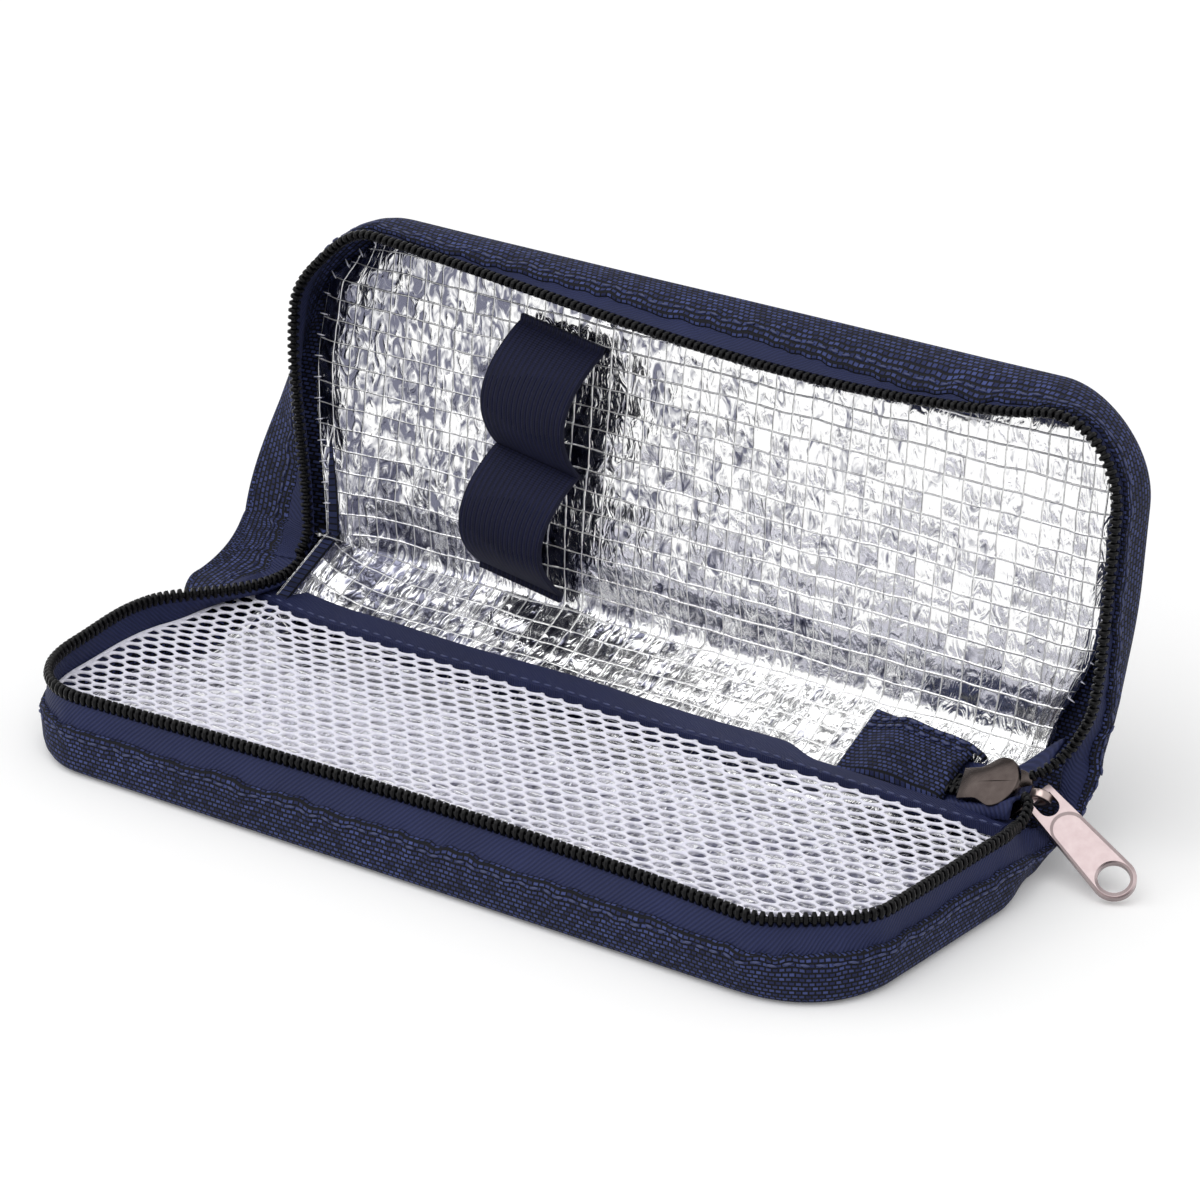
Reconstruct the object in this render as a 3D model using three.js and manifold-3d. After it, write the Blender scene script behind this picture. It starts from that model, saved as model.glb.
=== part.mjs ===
// A soft insulated zip case for insulin pens, lying open: a padded lower half, a spine strip and a padded
// cover, each a stack of woven outer cloth, foam and foil, with a zip round the two rims.
// Millimetres. X runs along the case, Y from the front wall to the spine, Z up, and Z = 0 is the table.
// While the pieces are laid out Y = 0 is the front wall; at the end the whole case is centred on its base.
import * as THREE from 'three';
import { mergeVertices } from 'three/addons/utils/BufferGeometryUtils.js';
import Module from 'manifold-3d';

const wasm = await Module();
wasm.setup();

// Whole case
const caseWidth = 205;
const panelDepth = 75;
const halfHeight = 17;
const cornerRadius = 23;
const spineAngle = 28;
const coverAngle = 83.5;

// Cloth, foam and foil
const oxfordThickness = 0.8;
const foamThickness = 2.6;
const foilThickness = 0.4;
const seatGap = 0.3;
const foldHeight = 3.5;
const foldGap = 0.4;
const foldRelief = 1.3;

// Walls: an oxford gusset below, zip tape above, leaning in towards the zip
const gussetHeight = 9;
const tapeThickness = 0.7;
const tapeLap = 2.5;
const gussetInset = 0.6;
const rimInset = 1;
const lowerSag = 4.5;
const coverSag = 5.5;
const leftPull = 8.5;
const leftPullLength = 28;
const rightPull = 4;
const rightPullLength = 15;
const seamPullShare = 0.45;
const wallSteps = 8;
const cornerSteps = 8;
const frontSteps = 8;

// Zip
const rimClearance = 0.25;
const coilHeight = 2.4;
const coilWidth = 2.8;
const coilSides = 6;
const cornerReach = 7;
const webSteps = 8;
const slackAtFold = 2;
const webRoom = 1.2;
const rightWebHeight = 5;
const chainWidth = 5.7;
const chainHeight = 2.2;
const chainLift = 6.3;
const chainUnderPatch = 8.5;
const endTapeWidth = 2.4;
const endTapeLength = 18;
const tapeFootShare = 0.6;
const upperTapeStartShare = 0.6;

// Mesh pocket and its binding
const netThickness = 0.6;
const netHeight = 9.9;
const netPitch = 7.4;
const netHole = 6;
const netHoleSides = 6;
const netMargin = 1.2;
const netRoom = 0.7;
const bindingWidth = 9;
const bindingThickness = 1.8;
const bindingLap = 3.6;
const bindingOverhang = 5;
const bindingBesidePatch = 0.7;
const bindingTaper = 12;

// Elastic pen loops on the cover
const elasticWidth = 21.5;
const elasticThickness = 1;
const loopLength = 26;
const loopBulge = 9;
const loopTail = 2;
const loopStitch = 0.8;
const loopBase = 3;
const loopSteps = 10;
const elasticCentre = -38.7;
const elasticSlant = 7.9;
const bulgePowerShare = 0.8;

// Zip end patch
const patchLength = 27;
const patchWidth = 17;
const patchFromSlider = 11.9;
const patchBase = 6.2;
const patchSkew = 2.6;
const patchSteps = 6;
const patchRampShare = 0.45;
const patchEdge = 0.6;

// Slider and pull tab
const sliderLength = 14;
const sliderWidth = 9.2;
const sliderWaist = 8;
const sliderTail = 8.4;
const plateThickness = 1.1;
const channelHeight = 3.3;
const sliderTilt = 22;
const sliderYaw = 6;
const sliderFromEnd = 15.1;
const sliderAlong = 9.1;
const sliderHeight = 10.3;
const postLength = 2.4;
const postWidth = 1.8;
const postForward = 3.6;
const flangeHeight = 0.6;
const flangeWidth = 0.8;
const bailBar = 1.1;
const bailWidth = 1.6;
const pivotForward = 7.2;
const pivotBelow = 3.85;
const pivotRoom = 1.3;
const slideBack = 2.5;
const pullReach = 26.4;
const pullNearWidth = 6;
const pullFarWidth = 8.6;
const pullThickness = 1.4;
const pullRecess = 0.35;
const pullRim = 0.9;
const pullHoleRadius = 3.1;
const pullHoleSides = 20;
const eyeLength = 4;
const eyeWidth = 3.2;
const eyeBar = 1.3;
const pullDrop = 20.4;
const pullSkew = 11.4;
const overrun = 2;

// Values that follow from the sizes above
const halfWidth = caseWidth / 2;
const sliderX = halfWidth - sliderFromEnd;
const patchEnd = sliderX - patchFromSlider;
const patchStart = patchEnd - patchLength;
const chainStart = patchEnd - chainUnderPatch;
const spineLength = 2 * (halfHeight - foldHeight);
const footHeight = oxfordThickness + seatGap;
const foamTop = footHeight + foamThickness;
const foilBottom = foamTop + seatGap;
const foilTop = foilBottom + foilThickness;
const coilTop = halfHeight - rimClearance;
const coilCentre = coilTop - coilHeight / 2;
const tapeTop = coilTop - coilHeight - seatGap;
const tapeFoot = gussetHeight - tapeLap;
const webGap = foldGap / 2;
const wallRise = gussetHeight - footHeight;

const radians = THREE.MathUtils.degToRad;
const { lerp, smoothstep } = THREE.MathUtils;

// Finishes
const finish = (color, roughness, metalness = 0) =>
  new THREE.MeshStandardMaterial({ color, roughness, metalness });
const oxford = finish(0x20284c, 0.9);
const zipTape = finish(0x232a55, 0.85);
const nylon = finish(0x141214, 0.45);
const foil = finish(0xc9ccd4, 0.25, 0.9);
const foam = finish(0xe8e8e4, 0.95);
const net = finish(0xe8e6f2, 0.8);
const binding = finish(0x232a52, 0.85);
const elastic = finish(0x1e2140, 0.9);
const nickel = finish(0xb9a9a3, 0.35, 1);
const darkNickel = finish(0x857b74, 0.4, 1);

const model = new THREE.Group();

function addMesh(parent, name, geometry, material) {
  const mesh = new THREE.Mesh(geometry, material);
  mesh.name = name;
  parent.add(mesh);
  return mesh;
}

// Closed solids from rings of points

function signedVolume(geometry) {
  const place = geometry.attributes.position;
  const [a, b, c] = [new THREE.Vector3(), new THREE.Vector3(), new THREE.Vector3()];
  let sum = 0;
  for (let i = 0; i < geometry.index.count; i += 3) {
    a.fromBufferAttribute(place, geometry.index.getX(i));
    b.fromBufferAttribute(place, geometry.index.getX(i + 1));
    c.fromBufferAttribute(place, geometry.index.getX(i + 2));
    sum += a.dot(b.cross(c));
  }
  return sum / 6;
}

function facingOut(geometry) {
  if (signedVolume(geometry) < 0) {
    const order = Array.from(geometry.index.array);
    geometry.setIndex(order.reverse());
  }
  geometry.computeVertexNormals();
  return geometry;
}

// Joins rings of equal length one after another. Each end is closed by joining the ring's first half to its
// second half, so a ring may be an arch.
function loft(rings) {
  const size = rings[0].length;
  const index = [];
  for (let i = 0; i + 1 < rings.length; i += 1) {
    for (let j = 0; j < size; j += 1) {
      const here = i * size + j;
      const beside = i * size + ((j + 1) % size);
      index.push(here, beside, beside + size, here, beside + size, here + size);
    }
  }
  const last = (rings.length - 1) * size;
  for (let a = 0; a + 1 < size / 2; a += 1) {
    const [b, c, d] = [a + 1, size - 2 - a, size - 1 - a];
    index.push(a, d, c, a, c, b);
    index.push(last + a, last + b, last + c, last + a, last + c, last + d);
  }
  const geometry = new THREE.BufferGeometry();
  const values = rings.flat().flatMap((point) => point.toArray());
  geometry.setAttribute('position', new THREE.Float32BufferAttribute(values, 3));
  geometry.setIndex(index);
  return facingOut(geometry);
}

function bare(geometry) {
  const copy = geometry.clone();
  copy.deleteAttribute('normal');
  copy.deleteAttribute('uv');
  return mergeVertices(copy);
}

function toSolid(geometry) {
  const merged = bare(geometry);
  return new wasm.Manifold(
    new wasm.Mesh({
      numProp: 3,
      vertProperties: Float32Array.from(merged.attributes.position.array),
      triVerts: Uint32Array.from(merged.index.array),
    }),
  );
}

function fromSolid(solid) {
  const mesh = solid.getMesh();
  const geometry = new THREE.BufferGeometry();
  geometry.setAttribute('position', new THREE.BufferAttribute(mesh.vertProperties, 3));
  geometry.setIndex(new THREE.BufferAttribute(mesh.triVerts, 1));
  geometry.computeVertexNormals();
  return geometry;
}

const joined = (geometries) =>
  geometries.map(toSolid).reduce((whole, piece) => whole.add(piece));
const cut = (body, tools) =>
  tools.map(toSolid).reduce((rest, tool) => rest.subtract(tool), body);

function extrude(shape, from, to, curveSegments = cornerSteps) {
  const geometry = new THREE.ExtrudeGeometry(shape, {
    depth: to - from,
    bevelEnabled: false,
    curveSegments,
  });
  geometry.translate(0, 0, from);
  return bare(geometry);
}

function roundHole(x, y, radius, sides) {
  const points = [];
  for (let i = 0; i < sides; i += 1) {
    const turn = (-2 * Math.PI * i) / sides;
    points.push(new THREE.Vector2(x + radius * Math.cos(turn), y + radius * Math.sin(turn)));
  }
  return points;
}

// A sheet of even thickness with holes through it
function pierced(border, holes, from, to) {
  const outer = THREE.ShapeUtils.isClockWise(border) ? border.toReversed() : border;
  const polygons = [outer, ...holes].map((points) => points.map(({ x, y }) => [x, y]));
  return wasm.Manifold.extrude(polygons, to - from).translate([0, 0, from]);
}

function block(x0, x1, y0, y1, z0, z1) {
  const geometry = new THREE.BoxGeometry(x1 - x0, y1 - y0, z1 - z0);
  geometry.translate((x0 + x1) / 2, (y0 + y1) / 2, (z0 + z1) / 2);
  return geometry;
}

// One half of the case, seen from inside: y is 0 at the fold and panelDepth at the far wall, z is 0 at the
// outer face. Stations follow the outline from one end of the fold round to the other.

function outline(start) {
  const side = panelDepth - cornerRadius;
  const corner = halfWidth - cornerRadius;
  const stations = [];
  for (let i = 0; i <= wallSteps; i += 1) {
    stations.push({ x: -halfWidth, y: lerp(start, side, i / wallSteps), nx: -1, ny: 0 });
  }
  for (let i = 1; i <= cornerSteps; i += 1) {
    const turn = radians(180 - (90 * i) / cornerSteps);
    const nx = Math.cos(turn);
    const ny = Math.sin(turn);
    stations.push({ x: -corner + cornerRadius * nx, y: side + cornerRadius * ny, nx, ny });
  }
  for (let i = 1; i < frontSteps; i += 1) {
    stations.push({ x: lerp(-corner, corner, i / frontSteps), y: panelDepth, nx: 0, ny: 1 });
  }
  const mirrored = stations
    .slice(0, wallSteps + cornerSteps + 1)
    .map(({ x, y, nx, ny }) => ({ x: -x, y, nx: -nx, ny }));
  return [...stations, ...mirrored.reverse()];
}

// The zip ends draw the walls in beside the spine, more on the left than on the right.
const drawnIn = (left, along) =>
  left
    ? leftPull * (1 - smoothstep(along, 0, leftPullLength))
    : rightPull * (1 - smoothstep(along, 0, rightPullLength));
const seamAt = (pull) => gussetInset + seamPullShare * pull;

// How far the wall's outer face stands in from the outline at a height
function wallInset(station, height, half) {
  const middle = half.sag * station.ny ** 4 * (1 - (station.x / halfWidth) ** 2);
  const pull = drawnIn(station.x * half.leftward > 0, station.y) + middle;
  if (height <= gussetHeight) {
    return seamAt(pull) * Math.max(0, (height - footHeight) / wallRise);
  }
  const share = (height - gussetHeight) / (tapeTop - gussetHeight);
  return lerp(seamAt(pull), rimInset + pull, share);
}

const inward = (station, inset, height) =>
  new THREE.Vector3(station.x - station.nx * inset, station.y - station.ny * inset, height);

function wallBand(start, half, bottom, top, depth, thickness) {
  const rings = outline(start).map((station) => {
    const low = wallInset(station, bottom, half) + depth;
    const high = wallInset(station, top, half) + depth;
    return [
      inward(station, low, bottom),
      inward(station, high, top),
      inward(station, high + thickness, top),
      inward(station, low + thickness, bottom),
    ];
  });
  return loft(rings);
}

// The tape is sewn inside the gusset, so its outer face stands this far behind the gusset's.
const tapeSet = oxfordThickness + seatGap;
const tapeInset = (station, height, half) => {
  const low = wallInset(station, tapeFoot, half);
  const high = wallInset(station, tapeTop, half);
  return lerp(low, high, (height - tapeFoot) / (tapeTop - tapeFoot)) + tapeSet;
};

// A ring of the coil's rounded section about a centre, across two directions
function coilRing(centre, across, up) {
  const ring = [];
  for (let i = 0; i < coilSides; i += 1) {
    const turn = (2 * Math.PI * (i + 1 / 2)) / coilSides;
    const point = centre.clone();
    point.addScaledVector(across, (Math.cos(turn) * coilWidth) / 2);
    point.addScaledVector(up, (Math.sin(turn) * coilHeight) / 2);
    ring.push(point);
  }
  return ring;
}

const upward = new THREE.Vector3(0, 0, 1);

function coilBand(start, half) {
  const rings = outline(start).map((station) => {
    const inset = tapeInset(station, tapeTop, half) + tapeThickness / 2;
    const across = new THREE.Vector3(station.nx, station.ny, 0);
    return coilRing(inward(station, inset, coilCentre), across, upward);
  });
  return loft(rings);
}

function plate(start, bottom, top, inset) {
  const points = outline(start).map((station) => {
    const { x, y } = inward(station, inset(station), bottom);
    return new THREE.Vector2(x, y);
  });
  return extrude(new THREE.Shape(points), bottom, top);
}

const behindGusset = (half, height) => (station) =>
  wallInset(station, height, half) + oxfordThickness + seatGap;

function addHalf(parent, prefix, half, rimStart) {
  const flush = () => 0;
  const lining = behindGusset(half, foilTop);
  addMesh(parent, `${prefix}_panel`, plate(foldGap, 0, oxfordThickness, flush), oxford);
  addMesh(parent, `${prefix}_foam`, plate(foldRelief, footHeight, foamTop, lining), foam);
  addMesh(parent, `${prefix}_foil`, plate(foldRelief, foilBottom, foilTop, lining), foil);
  const gusset = wallBand(foldGap, half, footHeight, gussetHeight, 0, oxfordThickness);
  const tape = wallBand(rimStart, half, tapeFoot, tapeTop, tapeSet, tapeThickness);
  addMesh(parent, `${prefix}_gusset`, gusset, oxford);
  addMesh(parent, `${prefix}_zip_tape`, tape, zipTape);
  addMesh(parent, `${prefix}_zip_coil`, coilBand(rimStart, half), nylon);
}

// Places: the lower half lies on the table, the spine turns up from it and the cover from the spine.

const base = new THREE.Group();
base.position.y = panelDepth;
base.rotation.z = Math.PI;
model.add(base);

function turnedUp(parent, along, angle) {
  const hinge = new THREE.Group();
  hinge.position.set(0, along, foldHeight);
  hinge.rotation.x = radians(angle);
  parent.add(hinge);
  const inside = new THREE.Group();
  inside.position.z = -foldHeight;
  hinge.add(inside);
  return inside;
}

const spine = turnedUp(model, panelDepth, spineAngle);
const cover = turnedUp(spine, spineLength, coverAngle - spineAngle);
model.updateMatrixWorld(true);

const onSpine = (x, along, height) => spine.localToWorld(new THREE.Vector3(x, along, height));
const onCover = (x, along, height) => cover.localToWorld(new THREE.Vector3(x, along, height));

// The lower half is turned about, so its left side is at +x in its own frame.
const lowerHalf = { sag: lowerSag, leftward: 1 };
const coverHalf = { sag: coverSag, leftward: -1 };
addHalf(base, 'lower', lowerHalf, foldGap);
addHalf(cover, 'cover', coverHalf, cornerReach);

// Corners: at each end of the spine the wall turns on round the fold, from the lower half to the cover.

// Where a line level with the table meets the same line drawn along the cover
function meeting(height) {
  const foot = onCover(0, 0, height);
  const rise = onCover(0, 1, height).sub(foot);
  return new THREE.Vector3(0, foot.y + (rise.y * (height - foot.z)) / rise.z, height);
}

const lowerEnd = (height) => new THREE.Vector3(0, panelDepth + webGap, height);
const bend = (height, middle, along) =>
  new THREE.QuadraticBezierCurve3(lowerEnd(height), middle, onCover(0, along, height));

const rimReach = cornerReach - seatGap;
const rimLine = bend(tapeTop, meeting(tapeTop), rimReach);
const coilLine = bend(coilCentre, meeting(coilCentre), rimReach);
const seamMiddle = lowerEnd(gussetHeight).lerp(onCover(0, webGap, gussetHeight), 1 / 2);
const seamLine = bend(gussetHeight, seamMiddle, webGap);
const seamHeight = spine.worldToLocal(seamMiddle.clone()).z;
const rightSeamMiddle = seamMiddle.clone();
rightSeamMiddle.addScaledVector(upward, 2 * (rightWebHeight - seamHeight));
const rightSeamLine = bend(gussetHeight, rightSeamMiddle, webGap);
const tapeFootMiddle = onSpine(0, spineLength * tapeFootShare, foldHeight);
const tapeFootLine = bend(tapeFoot, tapeFootMiddle, rimReach);

// The gusset's foot runs along the spine strip and turns up at both folds.
function footPoint(share) {
  if (share === 0) {
    return lowerEnd(footHeight);
  }
  if (share === 1) {
    return onCover(0, webGap, footHeight);
  }
  return onSpine(0, lerp(slackAtFold, spineLength - slackAtFold, share), footHeight);
}

// A band between two lines in the YZ plane, at side -1 or 1, standing in from the end of the case.
function webBand(side, low, high, lowInset, highInset, thickness, from = 0, to = 1) {
  const rings = [];
  for (let i = 0; i <= webSteps; i += 1) {
    const share = lerp(from, to, i / webSteps);
    const bottom = low(share);
    const top = high(share);
    const place = (point, inset) =>
      new THREE.Vector3(side * (halfWidth - inset), point.y, point.z);
    rings.push([
      place(bottom, lowInset(share)),
      place(top, highInset(share)),
      place(top, highInset(share) + thickness),
      place(bottom, lowInset(share) + thickness),
    ]);
  }
  return loft(rings);
}

function webCoil(side, line, inset, from = 0, to = 1) {
  const rings = [];
  const across = new THREE.Vector3(1, 0, 0);
  for (let i = 0; i <= webSteps; i += 1) {
    const share = lerp(from, to, i / webSteps);
    const centre = line.getPoint(share);
    centre.x = side * (halfWidth - inset(share));
    const up = line.getTangent(share).cross(across);
    rings.push(coilRing(centre, across, up));
  }
  return loft(rings);
}

for (const [name, side] of [
  ['left', -1],
  ['right', 1],
]) {
  const left = side < 0;
  const seam = left ? seamLine : rightSeamLine;
  const pullAt = (share) =>
    lerp(drawnIn(left, 0), drawnIn(left, cornerReach), share * share);
  const gussetTop = () => seamAt(drawnIn(left, 0));
  const gusset = webBand(side, footPoint, (t) => seam.getPoint(t), () => 0, gussetTop, oxfordThickness);
  addMesh(model, `${name}_corner_gusset`, gusset, oxford);
  const tape = webBand(
    side,
    (share) => tapeFootLine.getPoint(share),
    (share) => rimLine.getPoint(share),
    (share) => (seamAt(pullAt(share)) * (tapeFoot - footHeight)) / wallRise + tapeSet + webRoom,
    (share) => rimInset + pullAt(share) + tapeSet,
    tapeThickness,
    left ? 0 : upperTapeStartShare,
  );
  addMesh(model, `${name}_corner_tape`, tape, zipTape);
  const inset = (share) => rimInset + pullAt(share) + tapeSet + tapeThickness / 2;
  if (left) {
    addMesh(model, `${name}_corner_coil`, webCoil(side, coilLine, inset), nylon);
  }
}

// Spine strip

// The liner stops short of the gussets, which fold in over it when the case closes.
const spineLining = halfWidth - seamAt(leftPull) - oxfordThickness - 2 * seatGap;
addMesh(
  spine,
  'spine_panel',
  block(-halfWidth, halfWidth, foldGap, spineLength - foldGap, 0, oxfordThickness),
  oxford,
);
for (const [name, bottom, top, material] of [
  ['spine_foam', footHeight, foamTop, foam],
  ['spine_foil', foilBottom, foilTop, foil],
]) {
  const far = spineLength - foldRelief;
  const strip = block(-spineLining, spineLining, foldRelief, far, bottom, top);
  addMesh(spine, name, strip, material);
}

// The outer cloth where it rounds each fold
function foldCloth(along, turn) {
  const shape = new THREE.Shape();
  const down = -Math.PI / 2;
  const end = down + radians(turn);
  shape.absarc(0, 0, foldHeight, down, end, false);
  shape.absarc(0, 0, foldHeight - oxfordThickness, end, down, true);
  const geometry = extrude(shape, -halfWidth, halfWidth);
  geometry.rotateY(Math.PI / 2);
  geometry.rotateX(Math.PI / 2);
  geometry.translate(0, along, foldHeight);
  return geometry;
}

addMesh(model, 'lower_fold_cloth', foldCloth(panelDepth, spineAngle), oxford);
addMesh(spine, 'cover_fold_cloth', foldCloth(spineLength, coverAngle - spineAngle), oxford);

// Mesh pocket over the lower half: a knitted net, its mouth bound with folded tape at the spine.

// Whether a point lies inside a closed line, by counting the sides to its right
function holds(border, x, y) {
  let inside = false;
  border.forEach((a, i) => {
    const b = border[(i + 1) % border.length];
    if (a.y > y !== b.y > y && x < a.x + ((b.x - a.x) * (y - a.y)) / (b.y - a.y)) {
      inside = !inside;
    }
  });
  return inside;
}

function meshPocket() {
  const behindTape = (station) =>
    tapeInset(station, netHeight + netThickness, lowerHalf) + tapeThickness + netRoom;
  const mouth = bindingWidth - bindingOverhang - bindingLap;
  const border = outline(mouth).map((station) => {
    const { x, y } = inward(station, behindTape(station), 0);
    return new THREE.Vector2(x, y);
  });
  const holes = [];
  const reach = netHole / 2 + netMargin;
  const clear = (x, y) =>
    [0, 1, 2, 3, 4, 5].every((sixth) => {
      const turn = (sixth * Math.PI) / 3;
      return holds(border, x + reach * Math.cos(turn), y + reach * Math.sin(turn));
    });
  const rowPitch = netPitch * Math.sin(Math.PI / 3);
  const columns = Math.floor(halfWidth / netPitch);
  const firstRow = bindingWidth - bindingOverhang + netHole / 2 + seatGap;
  for (let row = 0; firstRow + row * rowPitch < panelDepth; row += 1) {
    for (let column = -columns; column <= columns; column += 1) {
      const x = (column + (row % 2) / 2) * netPitch;
      const y = firstRow + row * rowPitch;
      if (clear(x, y)) {
        holes.push(roundHole(x, y, netHole / 2, netHoleSides));
      }
    }
  }
  return fromSolid(pierced(border, holes, netHeight, netHeight + netThickness));
}

addMesh(base, 'mesh_pocket', meshPocket(), net);

const bindingMiddle = netHeight + netThickness / 2;
const bindingHalf = bindingThickness / 2;
const slotHalf = netThickness / 2 + seatGap;
const bindingEnd =
  halfWidth - rimInset - leftPull - tapeSet - tapeThickness - seatGap;
const bindingSection = new THREE.Shape(
  [
    [-bindingOverhang, -bindingHalf],
    [bindingWidth - bindingOverhang, -bindingHalf],
    [bindingWidth - bindingOverhang, -slotHalf],
    [bindingWidth - bindingOverhang - bindingLap - seatGap, -slotHalf],
    [bindingWidth - bindingOverhang - bindingLap - seatGap, slotHalf],
    [bindingWidth - bindingOverhang, slotHalf],
    [bindingWidth - bindingOverhang, bindingHalf],
    [-bindingOverhang, bindingHalf],
  ].map(([along, up]) => new THREE.Vector2(along, up)),
);
const bindingBar = extrude(bindingSection, -bindingEnd, bindingEnd);
bindingBar.rotateY(Math.PI / 2);
bindingBar.rotateX(Math.PI / 2);
bindingBar.translate(0, 0, bindingMiddle);

// Beside the zip end patch the binding is drawn back from the spine.
const patchSide = new THREE.Shape([
  new THREE.Vector2(bindingTaper - patchStart, -bindingOverhang),
  new THREE.Vector2(-patchStart, -bindingBesidePatch),
  new THREE.Vector2(-halfWidth, -bindingBesidePatch),
  new THREE.Vector2(-halfWidth, -bindingOverhang - overrun),
  new THREE.Vector2(bindingTaper - patchStart, -bindingOverhang - overrun),
]);
const drawnBack = extrude(
  patchSide,
  bindingMiddle - bindingThickness,
  bindingMiddle + bindingThickness,
);
addMesh(base, 'pocket_binding', fromSolid(cut(toSolid(bindingBar), [drawnBack])), binding);

// Elastic band on the cover, sewn down at three places so that it stands off in two loops

function elasticBand() {
  const rings = [];
  const rest = foilTop + seatGap;
  const station = (along, lift) => {
    const half = elasticWidth / 2;
    rings.push([
      new THREE.Vector3(-half, along, rest + lift),
      new THREE.Vector3(-half, along, rest + lift + elasticThickness),
      new THREE.Vector3(half, along, rest + lift + elasticThickness),
      new THREE.Vector3(half, along, rest + lift),
    ]);
  };
  let along = loopBase;
  station(along, 0);
  along += loopTail;
  for (let loop = 0; loop < 2; loop += 1) {
    for (let i = 0; i <= loopSteps; i += 1) {
      const share = i / loopSteps;
      const lift = loopBulge * Math.sin(Math.PI * share) ** bulgePowerShare;
      station(along + share * loopLength, lift);
    }
    along += loopLength + loopStitch;
  }
  station(along + loopTail - loopStitch, 0);
  const geometry = loft(rings);
  const middle = loopBase + loopTail + loopLength;
  geometry.translate(0, -middle, 0);
  geometry.rotateZ(radians(-elasticSlant));
  geometry.translate(elasticCentre, middle, 0);
  return geometry;
}

addMesh(cover, 'elastic_pen_loops', elasticBand(), elastic);

// Closed end of the zip: the meshed chain lies on the liner under an oxford patch.

const chainTop = chainLift + chainHeight;
const patchLift = chainTop + seatGap;

function zipPatch() {
  const rings = [];
  const low = foilTop + seatGap;
  for (let i = 0; i <= patchSteps; i += 1) {
    const share = i / patchSteps;
    const x = patchStart + patchLength * share;
    const near = patchBase - patchSkew * share;
    const rise = (patchLift - low) * smoothstep(share, 0, patchRampShare);
    const section = (inside, height) =>
      [
        [inside, 0],
        [patchEdge + inside, 1],
        [patchWidth / 2, 1],
        [patchWidth - 2 * patchEdge - inside, 1],
        [patchWidth - inside, 0],
      ].map(([along, lift]) => new THREE.Vector3(x, near + along, height + rise * lift));
    const top = section(0, low + oxfordThickness);
    const under = section(oxfordThickness, low);
    rings.push([...top, ...under.reverse()]);
  }
  return loft(rings);
}

addMesh(spine, 'zip_end_patch', zipPatch(), oxford);

// Slider: two plates joined by a post, flanges that grip the chain, and a bail for the pull tab

const slider = new THREE.Group();
slider.position.set(sliderX, sliderAlong, sliderHeight);
slider.rotation.set(0, -radians(sliderTilt), radians(sliderYaw), 'ZYX');
spine.add(slider);
model.updateMatrixWorld(true);

const halfSlider = sliderLength / 2;
const halfChannel = channelHeight / 2;
const plateOuter = halfChannel + plateThickness;

function sliderPlate(bottom, top) {
  const shape = new THREE.Shape();
  const noseRadius = sliderWidth / 2;
  const noseCentre = halfSlider - noseRadius;
  shape.moveTo(-halfSlider, -sliderTail / 2);
  shape.quadraticCurveTo(-halfSlider / 2, -sliderWaist / 2, noseCentre, -noseRadius);
  shape.absarc(noseCentre, 0, noseRadius, -Math.PI / 2, Math.PI / 2, false);
  shape.quadraticCurveTo(-halfSlider / 2, sliderWaist / 2, -halfSlider, sliderTail / 2);
  return extrude(shape, bottom, top);
}

function sliderBody() {
  const flanges = [-1, 1].flatMap((side) =>
    [-1, 1].map((face) => {
      const edge = side * (sliderWaist / 2);
      const inner = edge - side * flangeWidth;
      const outer = face * (halfChannel + plateThickness / 2);
      const lip = face * (halfChannel - flangeHeight);
      return block(
        -halfSlider + plateThickness,
        0,
        Math.min(edge, inner),
        Math.max(edge, inner),
        Math.min(outer, lip),
        Math.max(outer, lip),
      );
    }),
  );
  const post = block(
    postForward - postLength / 2,
    postForward + postLength / 2,
    -postWidth / 2,
    postWidth / 2,
    -halfChannel - plateThickness / 2,
    halfChannel + plateThickness / 2,
  );
  const nose = pivotForward + pivotRoom;
  const back = pivotForward - pivotRoom - bailBar - eyeLength;
  const floor = -pivotBelow - pivotRoom;
  const bailTop = -halfChannel - plateThickness / 2;
  const halfBail = bailWidth / 2;
  const roof = -plateOuter;
  const bail = [
    block(back, back + bailBar, -halfBail, halfBail, floor - bailBar, bailTop),
    block(back, nose + bailBar, -halfBail, halfBail, floor - bailBar, floor),
    block(nose, nose + bailBar, -halfBail, halfBail, floor - bailBar, bailTop),
    block(postForward, nose + bailBar, -halfBail, halfBail, roof, bailTop),
  ];
  const plates = [
    sliderPlate(halfChannel, plateOuter),
    sliderPlate(-plateOuter, -halfChannel),
  ];
  return fromSolid(joined([...plates, ...flanges, post, ...bail]));
}

addMesh(slider, 'slider_body', sliderBody(), darkNickel);

// The meshed chain, from inside the slider's channel down onto the liner

function closedChain() {
  const inSlider = (forward) => {
    const point = slider.localToWorld(new THREE.Vector3(forward, 0, 0));
    return spine.worldToLocal(point);
  };
  const bed = chainLift + chainHeight / 2;
  const first = inSlider(-slideBack / 2);
  const second = inSlider(-halfSlider);
  const last = new THREE.Vector3(chainStart, sliderAlong, bed);
  const resting = new THREE.Vector3(lerp(chainStart, second.x, 1 / 2), sliderAlong, bed);
  const line = new THREE.CatmullRomCurve3([first, second, resting, last]);
  const rings = [];
  const count = 2 * webSteps;
  for (let i = 0; i <= count; i += 1) {
    const centre = line.getPoint(i / count);
    const along = line.getTangent(i / count);
    const across = new THREE.Vector3(-along.y, along.x, 0).normalize();
    const up = along.clone().cross(across).normalize();
    const corner = (a, b) =>
      centre
        .clone()
        .addScaledVector(across, (a * chainWidth) / 2)
        .addScaledVector(up, (b * chainHeight) / 2);
    rings.push([corner(-1, -1), corner(-1, 1), corner(1, 1), corner(1, -1)]);
  }
  return loft(rings);
}

addMesh(spine, 'zip_closed_end', closedChain(), nylon);

// The cover's coil runs on round the right corner to the slider's nose.

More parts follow.
